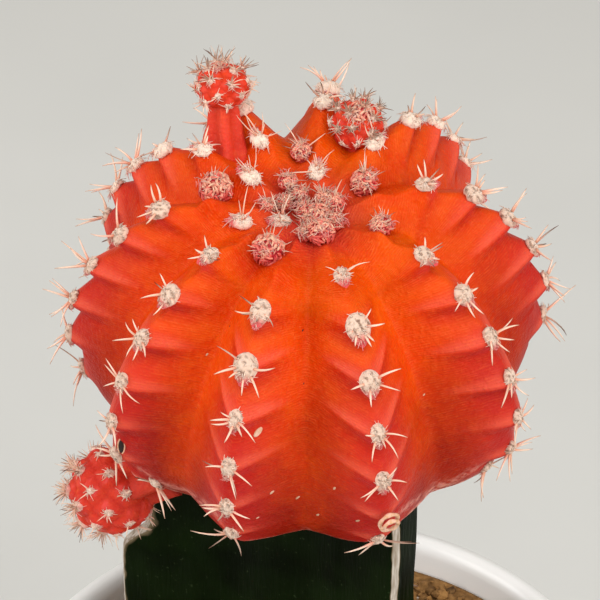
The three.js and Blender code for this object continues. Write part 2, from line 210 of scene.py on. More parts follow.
# a material, its empty node tree and the values, by name, that its pieces' meshes carry
def newMaterial(name, *carried):
    material = bpy.data.materials.new(name)
    material.use_nodes = True
    tree = material.node_tree
    tree.nodes.clear()
    values = [addNode(tree, "Attribute", output="Fac", attribute_name=key) for key in carried]
    return material, tree, *values


# object coordinates counted in millimetres, so that a texture's scale is 1 / its spots' size in mm
def inMillimetres(tree):
    place = addNode(tree, "TexCoord", output="Object")
    return addNode(tree, "VectorMath", {0: place, "Scale": 1 / mm}, operation="SCALE")


# lays each colour over those before it, by a share that grows from 0 to its strength as a value
# goes from low to high, then joins colour, roughness and relief in one Principled shader
def finishMaterial(tree, base, layers, height=None, relief=0.05, **principled):
    colour = linear(base)
    for value, low, high, strength, cover in layers:
        share = addNode(tree, "MapRange", [value, low, high, 0.0, strength])
        cover = linear(cover) if isinstance(cover, str) else cover
        colour = addNode(tree, "Mix", {0: share, 6: colour, 7: cover}, 2, data_type="RGBA")
    sockets = {key.replace("_", " "): value for key, value in principled.items()}
    sockets["Base Color"] = colour
    if height is not None:
        sockets["Normal"] = addNode(tree, "Bump", {"Height": height, "Distance": relief * mm})
    shader = addNode(tree, "BsdfPrincipled", sockets)
    addNode(tree, "OutputMaterial", {"Surface": shader})


# living cactus skin with no chlorophyll: translucent, satin, finely pebbled; gives the
# eye orange furrows, redder crests, a pink painted highlight on each fold, deep red painted shade
# under the folds and in creases, and painted shade darker red towards the base
def makeFlesh():
    material, tree, crest, paintedShade, pinkAndHighlight, down, dry, blush, glow, foldLine = newMaterial(
        "chlorophyll-free cactus skin", "crest", "paintedShade", "pinkAndHighlight", "down", "dry", "blush", "glow", "foldLine")
    place = addNode(tree, "Attribute", output="Vector", attribute_name="skinPlace")
    cloud = addNode(tree, "TexNoise", {"Vector": place, "Scale": 1 / 7, "Detail": 3.0})
    cloud = addNode(tree, "MapRange", [cloud, 0.3, 0.7, -0.09, 0.09])
    height = addNode(tree, "Math", [down, cloud], operation="ADD")
    broad = addNode(tree, "TexNoise", {"Vector": place, "Scale": 1 / 11, "Detail": 1.0})

    here = inMillimetres(tree)
    patches = addNode(tree, "TexNoise", {"Vector": here, "Scale": 1 / 2, "Detail": 4.0})
    wrinkle = addNode(tree, "TexNoise", {"Vector": here, "Scale": 1 / 0.6, "Detail": 4.0})
    cracks = addNode(tree, "TexNoise", {"Vector": here, "Scale": 1 / 0.6, "Detail": 5.0})
    cracks = addNode(tree, "MapRange", [cracks, 0.38, 0.6])
    scar = addNode(tree, "Math", [dry, cracks], operation="MULTIPLY")
    # pebbles 0.34 mm apart: the skin's cells are finer, and drawn as coarse as they need to show
    pebble = addNode(tree, "TexVoronoi", {"Vector": here, "Scale": 1 / 0.34})
    # fine ripples, about 0.3 mm apart, that run along the folds
    y, z = (addNode(tree, "SeparateXYZ", [here], axis) for axis in "YZ")
    alongFolds = addNode(tree, "CombineXYZ", [foldLine, y, z])
    ripple = addNode(tree, "TexWave", {"Vector": alongFolds, "Scale": 1.0, "Distortion": 8.0,
                                       "Detail": 2.0, "Detail Scale": 0.5}, "Fac")

    # light catches the pebbles and the ripples, most of all on the crown
    pebbleGlint = addNode(tree, "MapRange", [pebble, 0.05, 0.4, 0.75, 0.0])
    rippleGlint = addNode(tree, "MapRange", [ripple, 0.4, 1.0, 0.0, 0.6])
    glint = addNode(tree, "Math", [pebbleGlint, rippleGlint], operation="MAXIMUM")
    for fade in ([wrinkle, 0.4, 0.65], [down, 0.15, 0.6, 0.5, 0.12]):
        glint = addNode(tree, "Math", [glint, addNode(tree, "MapRange", fade)], operation="MULTIPLY")
    layers = [
        (broad, 0.4, 0.62, 1, "#DE5604"),
        (height, 0.1, 0.3, 1, "#D63C02"),
        (patches, 0.46, 0.68, 0.28, "#E86008"),
        # painted shade: darker red towards the base
        (height, 0.34, 0.6, 1, "#8E1400"),
        (crest, 0, 1, 0.45, "#DA3436"),
        (glow, 0, 1, 0.6, "#EE5E12"),
        # painted shade: deep red under the folds, in creases and grooves and close around the buds
        (paintedShade, 0, 1, 0.52, "#AE0C02"),
        # painted highlight: pink on the climb above each fold; pink streaks on the offsets
        (pinkAndHighlight, 0, 1, 0.55, "#EC644C"),
        (blush, 0, 1, 1, "#D84450"),
        (glint, 0, 1, 1, "#FA7A3C"),
        (scar, 0, 1, 1, "#E8A090"),
    ]

    pebble = addNode(tree, "Math", [pebble, 0.7], operation="MULTIPLY")
    fading = addNode(tree, "MapRange", [down, 0.2, 0.6, 0.35, 0.12])
    ripple = addNode(tree, "Math", [ripple, fading], operation="MULTIPLY")
    relief = addNode(tree, "MapRange", [wrinkle, 0.3, 0.7])
    relief = addNode(tree, "Math", [relief, pebble], operation="SUBTRACT")
    relief = addNode(tree, "Math", [relief, ripple], operation="ADD")
    finishMaterial(tree, "#D43A02", layers, relief, 0.07,
                   Roughness=0.4, IOR=1.4, Specular_IOR_Level=0.1,
                   Subsurface_Weight=0.2, Subsurface_Radius=(1.0, 0.2, 0.06), Subsurface_Scale=1.2 * mm)
    return material


# felted areole wool: dry matt plant hair; gives the eye cream tufts with grey-tan painted shade in the
# hollows
def makeWool():
    material, tree, tone, depth, blush = newMaterial("areole wool", "tone", "depth", "blush")
    # fuzz of 0.14 mm, coarser than real hairs, so that it shows
    fuzz = addNode(tree, "TexNoise", {"Vector": inMillimetres(tree), "Scale": 1 / 0.14, "Detail": 3.0,
                                      "Distortion": 1.5})
    broken = addNode(tree, "MapRange", [fuzz, 0.3, 0.6, 0.45, 1.0])
    hollow = addNode(tree, "Math", [depth, broken], operation="MULTIPLY")
    layers = [
        (tone, 0, 1, 1, "#C4957A"),
        # painted shade: grey-tan in the hollows of the tufts, and grey over the stock's wool
        (hollow, 0, 1, 1, "#74503A"),
        (fuzz, 0.48, 0.28, 0.25, "#C09A80"),
        (blush, 0, 1, 1, "#DC4A4E"),
    ]
    finishMaterial(tree, "#FAE0CC", layers, fuzz, 0.05,
                   Roughness=0.9, Sheen_Weight=0.25, Sheen_Roughness=0.5,
                   Subsurface_Weight=0.15, Subsurface_Radius=(1.0, 0.6, 0.4), Subsurface_Scale=0.3 * mm)
    return material


# horny spines: smooth keratin-like plant tissue, ivory, rosy at the foot and brown at old tips
def makeSpine():
    material, tree, along, dark, tone = newMaterial("horny cactus spine", "along", "dark", "tone")
    tipwards = addNode(tree, "MapRange", [along, 0.1, 0.8, 0.3, 1.0])
    brown = addNode(tree, "Math", [dark, tipwards], operation="MULTIPLY")
    layers = [
        (along, 0, 0.5, 1, "#F0D4C0"),
        (tone, 0, 1, 0.5, "#DCB294"),
        (along, 0.8, 1, 0.6, "#9A6848"),
        (brown, 0, 1, 1, "#4C2410"),
    ]
    finishMaterial(tree, "#E8967C", layers, Roughness=0.65, IOR=1.5, Specular_IOR_Level=0.1,
                   Subsurface_Weight=0.15, Subsurface_Radius=(1.0, 0.6, 0.4), Subsurface_Scale=0.2 * mm)
    return material


# flower bud scales: thin waxy petals packed in a knot, magenta below, cream and tan on top
def makeBud():
    material, tree, along, tone, top = newMaterial("waxy bud scales", "along", "tone", "top")
    tip = addNode(tree, "Mix", {0: top, 6: linear("#F08C76"), 7: linear("#F4D0AC")}, 2, data_type="RGBA")
    tipwards = addNode(tree, "MapRange", [along, 0.2, 0.8])
    onTop = addNode(tree, "MapRange", [top, 0.0, 0.7, 0.3, 0.8])
    creamy = addNode(tree, "Math", [tipwards, onTop], operation="MULTIPLY")
    layers = [(tone, 0, 1, 1, "#E4524A"), (creamy, 0, 1, 1, tip)]
    finishMaterial(tree, "#B01220", layers, Roughness=0.48,
                   Subsurface_Weight=0.15, Subsurface_Radius=(1.0, 0.3, 0.25), Subsurface_Scale=0.4 * mm)
    return material


# dried remains of flowers and scars: papery dead plant skin, tan and brown, matt and crumpled
def makeHusk():
    material, tree, tone = newMaterial("papery dried plant skin", "tone")
    crumple = addNode(tree, "TexNoise", {"Vector": inMillimetres(tree), "Scale": 1 / 0.35, "Detail": 4.0})
    layers = [(crumple, 0.35, 0.65, 0.7, "#CC9458"), (tone, 0, 1, 1, "#1E0E06")]
    finishMaterial(tree, "#EABEA6", layers, crumple, 0.08, Roughness=0.8)
    return material


# rootstock skin: thick waxed green cuticle, almost black in the photo, with corky grey margins; the green is
# painted near black, darker than its own, as painted shade
def makeStockSkin():
    material, tree, cork = newMaterial("waxed stem skin with cork", "cork")
    place = inMillimetres(tree)
    cloud = addNode(tree, "TexNoise", {"Vector": place, "Scale": 1 / 6, "Detail": 4.0})
    fleck = addNode(tree, "TexNoise", {"Vector": place, "Scale": 1 / 0.5, "Detail": 3.0})
    # the cork's cracks run up the stem, drawn out seven times
    upright = addNode(tree, "VectorMath", [place, (1.0, 1.0, 0.14)], operation="MULTIPLY")
    crack = addNode(tree, "TexNoise", {"Vector": upright, "Scale": 1 / 0.45, "Detail": 4.0,
                                       "Distortion": 0.3})
    bark = addNode(tree, "Mix", {0: addNode(tree, "MapRange", [crack, 0.35, 0.6]),
                                 6: linear("#8E7E6C"), 7: linear("#C6BCB0")}, 2, data_type="RGBA")
    brim = [addNode(tree, "MapRange", [cork, *ends]) for ends in ((0.2, 0.42), (0.6, 0.45))]
    layers = [
        (cloud, 0.35, 0.7, 1, "#0F1C05"),
        (fleck, 0.66, 0.74, 0.25, "#465436"),
        (cork, 0.35, 0.6, 1, bark),
        (addNode(tree, "Math", brim, operation="MULTIPLY"), 0, 1, 1, "#6E6048"),
    ]
    finishMaterial(tree, "#050C01", layers, crack, 0.12,
                   Roughness=addNode(tree, "MapRange", [cork, 0.2, 0.6, 0.5, 0.85]), Specular_IOR_Level=0.03)
    return material


# white pot: injection-moulded glossy plastic; gives the eye a clean soft-edged highlight
def makePotSkin():
    material, tree = newMaterial("glossy white moulded plastic")
    place = inMillimetres(tree)
    dust = addNode(tree, "TexNoise", {"Vector": place, "Scale": 1 / 12, "Detail": 1.0})
    ripple = addNode(tree, "TexNoise", {"Vector": place, "Scale": 1 / 15, "Detail": 0.0})
    finishMaterial(tree, "#FAFAF8", [(dust, 0, 1, 0.3, "#EFEDE6")], ripple, 0.05,
                   Roughness=addNode(tree, "MapRange", [dust, 0.0, 1.0, 0.26, 0.34]),
                   IOR=1.49, Coat_Weight=0.15)
    return material


# potting soil: loose damp peat, bark crumbs and grit; matt, tan-brown, dark in the gaps
def makeSoilEarth():
    material, tree, tone, pale = newMaterial("peat and grit potting soil", "tone", "pale")
    speck = addNode(tree, "TexNoise", {"Vector": inMillimetres(tree), "Scale": 1 / 0.8, "Detail": 4.0})
    layers = [(tone, 0, 1, 1, "#A27642"), (speck, 0.4, 0.7, 0.45, "#BC8E58"), (pale, 0, 1, 1, "#E6DECF")]
    finishMaterial(tree, "#3C2816", layers, speck, 0.25, Roughness=0.95, Specular_IOR_Level=0.2)
    return material


flesh, wool, spineHorn = makeFlesh(), makeWool(), makeSpine()
budScale, husk = makeBud(), makeHusk()
stockSkin, potSkin, earth = makeStockSkin(), makePotSkin(), makeSoilEarth()
print("materials made")

scion = {
    "centre": (0, 0, 118),
    "lean": 12,            # degrees that the plant leans towards the camera
    "graftHeight": 102.5,
    "areoleSpacing": 5.7,
    "areoleRows": 7,
    "furrowDepth": 4.9,
    "crestRounding": 0.1,
    "furrowRounding": 0.12,
    "chin": 0.64,
    "fold": 0.32,
    "foldClimb": 0.32,     # how far up a fold has gone at the furrow, in areole spacings
    "lipDroop": 3.6,
    "columns": 34,         # from one crest to the next
    "rowsPerAreole": 26,
    "easings": 90,         # rounds that even the furrows out, where the crown bends sharply
}

# radius and height of a rib's crest, from the crown down to the base
crestProfile = np.array([
    [0, 13.2], [3, 13.6], [7, 15], [11, 15.6], [14.5, 14.6], [18, 11.8], [21.2, 7.4],
    [23.6, 2.4], [24.8, -3], [24.4, -8], [22.6, -12.8], [18.7, -17.5], [12, -20.5], [0, -22],
])

# azimuth, first areole's distance from the apex, reach and lift of each rib
ribs = np.array([
    [-153, 5.0, 1, 0.3], [-123, 7.4, 1.03, 0], [-90, 10.0, 1.01, 0], [-55, 7.0, 1, 0], [-20, 9.4, 1, 0],
    [17.5, 10.8, 1, 0], [59, 8.0, 1, 0], [100, 6.4, 1.01, 0.3], [139, 10.2, 1.03, 0.5], [174, 7.8, 1, 1],
])

# buds on the crown: azimuth, distance from the apex, radius
buds = np.array([
    [-107, 10.2, 2.0], [-38, 7.0, 1.9], [123, 6.4, 1.6], [72, 7.5, 1.35], [-173, 7.6, 1.25],
    [-148, 4.4, 1.15], [-112, 0.6, 1.2], [109, 2.7, 1.35], [18, 4.0, 1.6], [50, 1.2, 1.5],
    [-99, 4.5, 0.9], [-115, 3.0, 1.0], [-11, 3.2, 1.0], [58, 3.3, 1.1], [140, 2.2, 1.1],
    [-155, 2.7, 1.0], [-6, 1.4, 1.1],
])


# arc length, points and directions of the crest, a Catmull-Rom curve through its profile
def crestTable(count=2400):
    n = len(crestProfile)
    t = np.linspace(0, n - 1, count)
    i = np.minimum(t.astype(int), n - 2)
    w = (t - i)[:, None]
    p0, p1 = crestProfile[np.maximum(i - 1, 0)], crestProfile[i]
    p2, p3 = crestProfile[i + 1], crestProfile[np.minimum(i + 2, n - 1)]
    v0, v1 = (p2 - p0) / 2, (p3 - p1) / 2
    points = (2 * p1 - 2 * p2 + v0 + v1) * w ** 3 + (-3 * p1 + 3 * p2 - 2 * v0 - v1) * w ** 2 + v0 * w + p1
    arc = np.concatenate([[0], np.cumsum(np.linalg.norm(np.diff(points, axis=0), axis=1))])
    return arc, points, unit(np.gradient(points, arc, axis=0))


crestArc, crestPoints, crestAlong = crestTable()


# point and downward direction of the crest at a distance from the apex
def crestAt(distance):
    look = lambda table: np.stack([np.interp(distance, crestArc, table[:, k]) for k in (0, 1)], -1)
    return look(crestPoints), unit(look(crestAlong))


# relief: climbs from a notch to a chin below each areole, then drops; side is 0 on the crest and
# 1 in the furrow. height = chin * exp(-(side / width)^2) + fold * (1 - smooth(side)). The chin is
# larger on the side ribs and smaller and narrower near the base
chinPhase, notchPhase = 0.09, 0.38


def relief(phase, side, distance, azimuth):
    past = np.mod(phase - notchPhase, 1)
    climb = 1 - notchPhase + chinPhase
    climbed = np.minimum(past / climb, 1)
    saw = np.where(past < climb, climbed ** 1.4, 1 - smooth(past, climb, 1))
    low = smooth(distance, 25, 40)
    flank = smooth(fromFront(azimuth), 30, 62) * smooth(distance, 8, 16)
    width = (0.32 + 0.1 * climbed) * (1 - 0.35 * low)
    chin = scion["chin"] * (1 + 1.4 * flank) * (1 - 0.3 * low) * bell(side, width)
    fold = scion["fold"] * (1 - smooth(side, 0.2, 0.9)) * (1 - 0.92 * low)
    fade = smooth(distance, 3, 9) * (1 - smooth(distance, 46, 50))
    drop = smooth(past, climb - 0.03, climb + 0.06)
    # painted shade: deep red just below each chin's drop, fading towards the furrow
    paintedShade = np.where(past > climb - 0.03, drop, 1 - smooth(past, 0, 0.4)) * (1 - smooth(side, 0.35, 0.85))
    overChin = 1 - smooth(past, climb - 0.05, climb + 0.03)
    # painted highlight: pink on the climb up to each chin, narrower towards the furrow
    pinkAndHighlight = smooth(past, climb - 0.36 + 0.2 * side, climb - 0.06) * overChin
    plain = fade * (1 - 0.85 * low * smooth(side, 0.1, 0.4))
    return (saw - 0.75) * (chin + fold) * fade, paintedShade * plain, pinkAndHighlight * plain


# how much higher a lifted rib's crest is, from the crown's edge to its shoulder
def rise(lift, distance):
    return lift * smooth(distance, 4, 14) * (1 - smooth(distance, 20, 36))


# turns the plant's own axes to the pot's: a turn about X by the lean
def leaned(vectors):
    a = math.radians(scion["lean"])
    x, y, z = np.moveaxis(vectors, -1, 0)
    return np.stack([x, y * math.cos(a) - z * math.sin(a), y * math.sin(a) + z * math.cos(a)], -1)


# the plant's own points put in the pot: leaned, then moved by the centre
def inPot(points):
    return leaned(points) + np.array(scion["centre"])


# the level of the graft, or lower where a lip of the front ribs hangs before the stock
def undersideHeight(points):
    azimuth = np.degrees(np.arctan2(points[..., 0], -points[..., 1]))
    face = outward(np.array(stock["turn"] - 60.0))
    beyond = points[..., 0] * face[0] + points[..., 1] * face[1] - stock["wings"][0][0] / 2
    lip = smooth(beyond, 0.7, 2.2) * smooth(azimuth, -55, -38) * (1 - smooth(azimuth, 23, 28))
    return scion["graftHeight"] - scion["lipDroop"] * lip


stock = {
    "waist": 8.2,
    "wingAngle": 12.4,
    "wingBlunt": 2.4,       # degrees from the middle of a wing to where its flank starts
    "turn": 28.7,
    "foot": 28,
    "shoulderHeight": 86,
    "areoleHeight": 88,
    "areolesShown": (58, 98),
    "wingShift": 4,
    "lobeSpacing": 26,
    "lobeDepth": 0.4,
    "bend": (0, -6, 0),     # degrees that each wing leans round, above the soil
    "topBevel": 1.2,
    "wings": [(19, 0.4), (19, 1), (20.2, 3)],   # reach, and how far it steps in above the shoulder
    "corkWidth": 0.46,
    "corkPatch": (87.2, 1.7, 1.1),   # on the third wing: its height, half height and half width
    "rows": 190,
}


# scion skin: under the crest curve by depth * (1.25 side - 0.25 side^2) less the relief, where
# depth grows with the gap between the ribs and fades at the apex and the base
def scionGrid():
    count = len(ribs)
    across = np.tile(np.arange(scion["columns"]) / scion["columns"], count)
    here = np.repeat(np.arange(count), scion["columns"])
    after = (here + 1) % count
    gap = np.mod(ribs[after, 0] - ribs[here, 0], 360)
    azimuth = ribs[here, 0] + gap * across
    first, reach, lift = (ribs[here, k] + (ribs[after, k] - ribs[here, k]) * across for k in (1, 2, 3))
    spread = np.abs(2 * across - 1)
    f, c = scion["furrowRounding"], scion["crestRounding"]
    flat = 1 - (np.hypot(spread, f) - f) / (math.hypot(1, f) - f)
    side = (np.hypot(flat, c) - c) / (math.hypot(1, c) - c)
    arch = 1 - (np.hypot(spread, 0.4) - 0.4) / (math.hypot(1, 0.4) - 0.4)

    end = crestArc[-1]
    steps = scion["areoleRows"] * scion["rowsPerAreole"]
    crown = first * np.linspace(0.03, 0.97, 26)[:, None]
    rowsDown = np.linspace(0, scion["areoleRows"], steps, endpoint=False)[:, None]
    ringed = first + scion["areoleSpacing"] * rowsDown
    last = first + scion["areoleSpacing"] * scion["areoleRows"]
    base = last + (end - last) * np.linspace(0, 0.985, 28)[:, None]
    distance = np.concatenate([crown, ringed, base])

    unrolled = outward(azimuth)[None] * 24 + skyward * distance[..., None]
    wave = lumps(unrolled, 9.0, 5)
    phase = (distance - first) / scion["areoleSpacing"] + (scion["foldClimb"] + 0.05 * wave) * arch
    point, along = crestAt(distance)
    normal = np.stack([-along[..., 1], along[..., 0]], -1)
    inwards = unit(normal * [1, 0.6])
    fading = 1 - 0.6 * smooth(distance, 32, 48) - 0.3 * smooth(distance, 48, 62)
    depth = scion["furrowDepth"] * (gap / 36) ** 0.6 * smooth(distance, 0, 18) * fading
    height, paintedShade, pinkAndHighlight = relief(phase, side, distance, azimuth)
    height = height * (1 + 0.35 * lumps(unrolled, 7.0, 6))
    crease = 0.08 * bell(spread, 0.08) * smooth(distance, 8, 18)
    place = outward(azimuth) * point[..., :1] + np.array([0, 0, 0.5]) * point[..., 1:]
    sunk = depth * (1.25 * side - 0.25 * side ** 2) - height + crease - 0.1 * lumps(place, 5.0, 8)
    radius = np.maximum(point[..., 0] * reach - inwards[..., 0] * sunk, 0)
    skin = outward(azimuth) * radius[..., None]
    skin[..., 2] = point[..., 1] + rise(lift, distance) - inwards[..., 1] * sunk
    eased = skin.copy()
    for _ in range(scion["easings"]):
        eased[1:-1] = (eased[:-2] + 2 * eased[1:-1] + eased[2:]) / 4
    share = (smooth(side, 0.45, 1) + 0 * distance)[..., None]
    grid = inPot(skin + (eased - skin) * share)
    bottom = undersideHeight(grid)
    over = grid[..., 2] - bottom
    grid[..., 2] = np.maximum(grid[..., 2], bottom)

    flank = fromFront(azimuth)
    aside = smooth(flank, 40, 85) * (1 - smooth(flank, 120, 160))
    # painted shade below the folds, weaker towards the furrow, and over the ribs that turn aside from the
    # front
    folds = paintedShade * (0.35 + 0.65 * (1 - side ** 2)) + 0.35 * aside * (1 - paintedShade)
    # painted shade, deep red, close around the buds, measured on the crown laid flat
    laid = outward(azimuth) * distance[..., None]
    near = 0
    for budAzimuth, budDistance, budRadius in buds:
        away = np.linalg.norm(laid - outward(budAzimuth) * budDistance, axis=-1)
        near = near + bell(away, 1.3 * budRadius)
    # the frosty margins where the front flanks turn under, and the dry rim around the graft
    turnsUnder = 41.6 + 3.4 * smooth(flank, 23, 40) - 1.6 * smooth(flank, 42, 50)
    margin = 0.55 * bell(distance - turnsUnder, 0.75) * smooth(flank, 21, 25) * (1 - smooth(flank, 48, 56))
    rim = bell(np.maximum(over - 0.1, 0), 0.3 + 1.5 * side ** 2) * (distance > 30)
    # rosy tails below the areoles, and orange light between them
    tail = bell(side, 0.2) * bell(np.mod(phase, 1) - 0.24, 0.1)
    tail = tail * smooth(distance - first, 3, 5) * (1 - smooth(distance, 30, 45))
    glow = bell(np.mod(phase, 1) - 0.6, 0.24) * bell(side, 0.75)
    values = {
        "crest": bell(side, 0.45) * smooth(distance, 12, 25),
        "paintedShade": np.maximum(np.clip(0.9 * near, 0, 1), folds * smooth(distance, 9, 18)),
        "pinkAndHighlight": pinkAndHighlight * (1 - smooth(side, 0.3, 0.85)) * smooth(distance, 12, 22),
        # how far down the skin; it turns the flesh redder, then darker red towards the base as painted shade
        "down": distance / end + 0.1 * (1 - side) - 0.04,
        "foldLine": phase * scion["areoleSpacing"],
        "dry": np.maximum(margin, rim),
        "glow": glow * smooth(distance, 9, 15) * (1 - smooth(distance, 19, 30)),
        "blush": 0.35 * tail + 0.3 * (1 - smooth(distance, 2, 8)),
    }
    return grid, values, place, azimuth, distance


grid, scionValues, skinPlace, gridAzimuth, gridDistance = scionGrid()
apex = inPot(np.array([0, 0, crestProfile[0, 1]]))
scionBase = np.array([0, 0, scion["graftHeight"]])


# a value for each point of a closed surface: the grid's, then its mean at each pole
def withPoles(value):
    flat = value.reshape(-1, *value.shape[2:])
    return np.concatenate([flat, value[0].mean(0, keepdims=True), value[-1].mean(0, keepdims=True)])


scionValues = {key: withPoles(value) for key, value in scionValues.items()}
scionValues["skinPlace"] = withPoles(skinPlace)
makePiece("scionFlesh", closedSurface(grid, apex, scionBase), flesh, "scion", scionValues)


# areoles: place, outward, upward and sideways directions on a rib's crest
def areoleFrames(azimuth, distance, reach, lift):
    point, along = crestAt(distance)
    out = outward(azimuth)
    turned = lambda radial, height: out * radial[..., None] + skyward * height[..., None]
    normal = unit(leaned(turned(-along[..., 1], along[..., 0])))
    upwards = unit(leaned(turned(-along[..., 0], -along[..., 1])))
    place = inPot(turned(point[..., 0] * reach, point[..., 1] + rise(lift, distance)))
    return place, normal, upwards, np.cross(upwards, normal)


# point of the skin nearest to an azimuth and a distance from the apex, and its way out
def skinSpot(azimuth, distance):
    away = fromFront(gridAzimuth - azimuth)[None] * 0.4 + np.abs(gridDistance - distance)
    r, c = np.unravel_index(np.argmin(away), away.shape)
    across = np.cross(grid[r, (c + 1) % grid.shape[1]] - grid[r, c - 1], grid[r - 2, c] - grid[r + 2, c])
    return grid[r, c], unit(across)


# the same directions for what stands between the ribs' rows, placed on the skin itself
def skinFrames(azimuth, distance):
    one = np.ones(len(azimuth))
    frames = areoleFrames(azimuth, distance, one, 0 * one)
    return np.array([skinSpot(a, d)[0] for a, d in zip(azimuth, distance)]), *frames[1:]


areoles = {
    "radius": 1.1,          # half the wool's width
    "dome": 0.7,            # its height over half its width
    "fibres": 100,
    "fibreRadius": 0.055,   # several times a real hair's, so that fibres show
    "spines": 6,
    "spineLength": 2.5,
    "spineRadius": 0.155,
    # azimuth, distance from the apex, size: those that stand apart from the even rows
    "apart": [(-122, 7.3, 0.85), (-80, 6.8, 0.85), (173, 5.3, 0.75), (-76, 2.9, 0.8), (-149, 10.3, 0.85),
              (-47, 45.2, 0.6), (55, 45.6, 0.6)],
    # where a bud stands in the place of an areole: azimuth, distance from the apex
    "left": [(-20, 9.4), (-90, 10.0), (-153, 10.7), (17.5, 39.3)],
}


def areoleTable():
    rib = np.repeat(np.arange(len(ribs)), scion["areoleRows"])
    row = np.tile(np.arange(scion["areoleRows"]), len(ribs))
    azimuth, distance = ribs[rib, 0], ribs[rib, 1] + row * scion["areoleSpacing"]
    reach, lift = ribs[rib, 2], ribs[rib, 3]
    kept = (distance > 8.5) & (distance < 47)
    for a, d in areoles["left"]:
        kept &= np.hypot(azimuth - a, distance - d) > 0.5
    azimuth, distance, reach, lift = (v[kept] for v in (azimuth, distance, reach, lift))
    full = smooth(distance, 13.5, 16) * (1 - smooth(distance, 23, 26))
    full = full * np.where(np.abs(azimuth) > 30, 0.45, 1)
    size = (0.8 - 0.12 * smooth(distance, 20, 26) + 0.3 * full) * rng.uniform(0.93, 1.08, len(distance))
    size *= np.where((np.abs(azimuth) > 150) & (distance < 22), 1.2, 1)
    return azimuth, distance, reach, lift, size


rowAzimuth, rowDistance, rowReach, rowLift, rowSize = areoleTable()
apartAzimuth, apartDistance, apartSize = np.array(areoles["apart"]).T
areoleAzimuth = np.append(rowAzimuth, apartAzimuth)
areoleDistance = np.append(rowDistance, apartDistance)
areoleSize = np.append(rowSize, apartSize)
areoleFrame = [np.concatenate(pair) for pair in zip(areoleFrames(rowAzimuth, rowDistance, rowReach, rowLift),
                                                    skinFrames(apartAzimuth, apartDistance))]
areoleRadius = areoles["radius"] * areoleSize
areoleTall = 1.18 + 0.25 * smooth(areoleDistance, 22, 27) - 0.12 * (np.abs(areoleDistance - 19.5) < 4)


# a circle drawn out to a tail below: x = cos a * reach * (1 - 0.45 * fall^2), y = sin a * reach
# times 1.6 below and 1.05 above, where fall is how far below the middle the circle's point is
def teardrop(a, reach):
    x, y = np.cos(a) * reach, np.sin(a) * reach
    return x * (1 - 0.45 * np.maximum(-y, 0) ** 2), np.where(y < 0, y * 1.6, y * 1.05)


# woolly domes: teardrops of reach cos b, at the height dome * sin b * (1 - 0.3 * fall), for b from
# a little under the rim to the top, with lumps of 0.6 and 0.3 mm
def woolDomes(frames, radius, dome, rings=15, sides=30, tall=1.0):
    place, normal, upwards, sideways = frames
    upwards = upwards * np.broadcast_to(tall, len(place))[:, None]
    a = turns(sides)
    b = np.linspace(-0.5, 1.45, rings)[:, None]
    x, y = teardrop(a, np.cos(b))
    h = dome * np.sin(b) * (1 - 0.3 * np.maximum(-y, 0))
    local = np.stack([x, y, h], -1)[None] * radius[:, None, None, None]
    basis = np.stack([sideways, upwards, normal], 1)
    grids = np.einsum("nrsk,nkd->nrsd", local, basis) + place[:, None, None]
    rough = 0.12 * lumps(grids, 0.6, 3) + 0.07 * lumps(grids, 0.3, 4)
    grids += rough[..., None] * normal[:, None, None]
    poles = [place + normal * (radius * level)[:, None] for level in (-0.5 * dome, dome)]
    pole = np.full((len(place), 2), 0.3)
    tail = np.concatenate([np.broadcast_to(y, (len(place), *y.shape)).reshape(len(place), -1), pole], 1)
    return closedSurfaces(grids, *poles), smooth(-tail.ravel(), 0.35, 1.3)


# curled fibres: point = foot + length * (t * direction + t^2 * (0.7 curl - 0.8 normal)), thin at
# the tip
def woolFibres(frames, radius, dome, count, fibreRadius, length=0.7, steps=4, sides=3, tall=1.0):
    place, normal, upwards, sideways = (np.repeat(v, count, 0) for v in frames)
    upwards = upwards * np.repeat(np.broadcast_to(tall, len(frames[0])), count)[:, None]
    size = np.repeat(radius, count)[:, None]
    n = len(place)
    reach = np.sqrt(rng.uniform(0, 1, n)) * 0.96
    x, y = teardrop(rng.uniform(0, 2 * math.pi, n), reach)
    h = dome * np.sqrt(np.maximum(1 - reach ** 2, 0)) * 0.95
    foot = place + size * (sideways * x[:, None] + upwards * y[:, None] + normal * h[:, None])
    swirl = rng.normal(size=(n, 3))
    direction = unit(swirl - normal * (swirl * normal).sum(-1, keepdims=True) * 0.9 + 0.15 * normal)
    curl = unit(rng.normal(size=(n, 3)))
    t = np.linspace(0, 1, steps)[:, None]
    reachOut = (length * rng.uniform(0.5, 1.2, n) * (1 - 0.5 * reach ** 2))[:, None, None]
    inwards = (0.7 * curl - 0.8 * normal)[:, None]
    paths = foot[:, None] + reachOut * (t * direction[:, None] + t ** 2 * inwards)
    radii = fibreRadius * rng.uniform(0.75, 1.2, n)[:, None] * (1 - 0.5 * t[:, 0] ** 2)
    each = lambda v: np.repeat(v, steps * sides)
    return tubes(paths, radii, sides), each(rng.uniform(0, 1, n) ** 1.5), each(smooth(-y, 0.5, 1.5))


# spines: point = foot + length * (t * direction + t^2 * bend * side), with a radius that tapers
# as 0.82 (1 - t)^0.6 + 0.18
def spineTubes(foot, direction, length, radius, bend, dark, sides=5, steps=6):
    side = unit(np.cross(direction, rng.normal(size=direction.shape)))
    t = np.linspace(0, 1, steps)
    curve = t[:, None] ** 2 * (bend[:, None] * side)[:, None]
    paths = foot[:, None] + length[:, None, None] * (t[:, None] * direction[:, None] + curve)
    radii = radius[:, None] * ((1 - t) ** 0.6 * 0.82 + 0.18)
    tone = rng.uniform(0, 1, len(foot))
    each = lambda v: np.repeat(v, steps * sides)
    values = {"along": np.tile(np.repeat(t, sides), len(foot)), "dark": each(dark), "tone": each(tone)}
    return tubes(paths, radii, sides), values


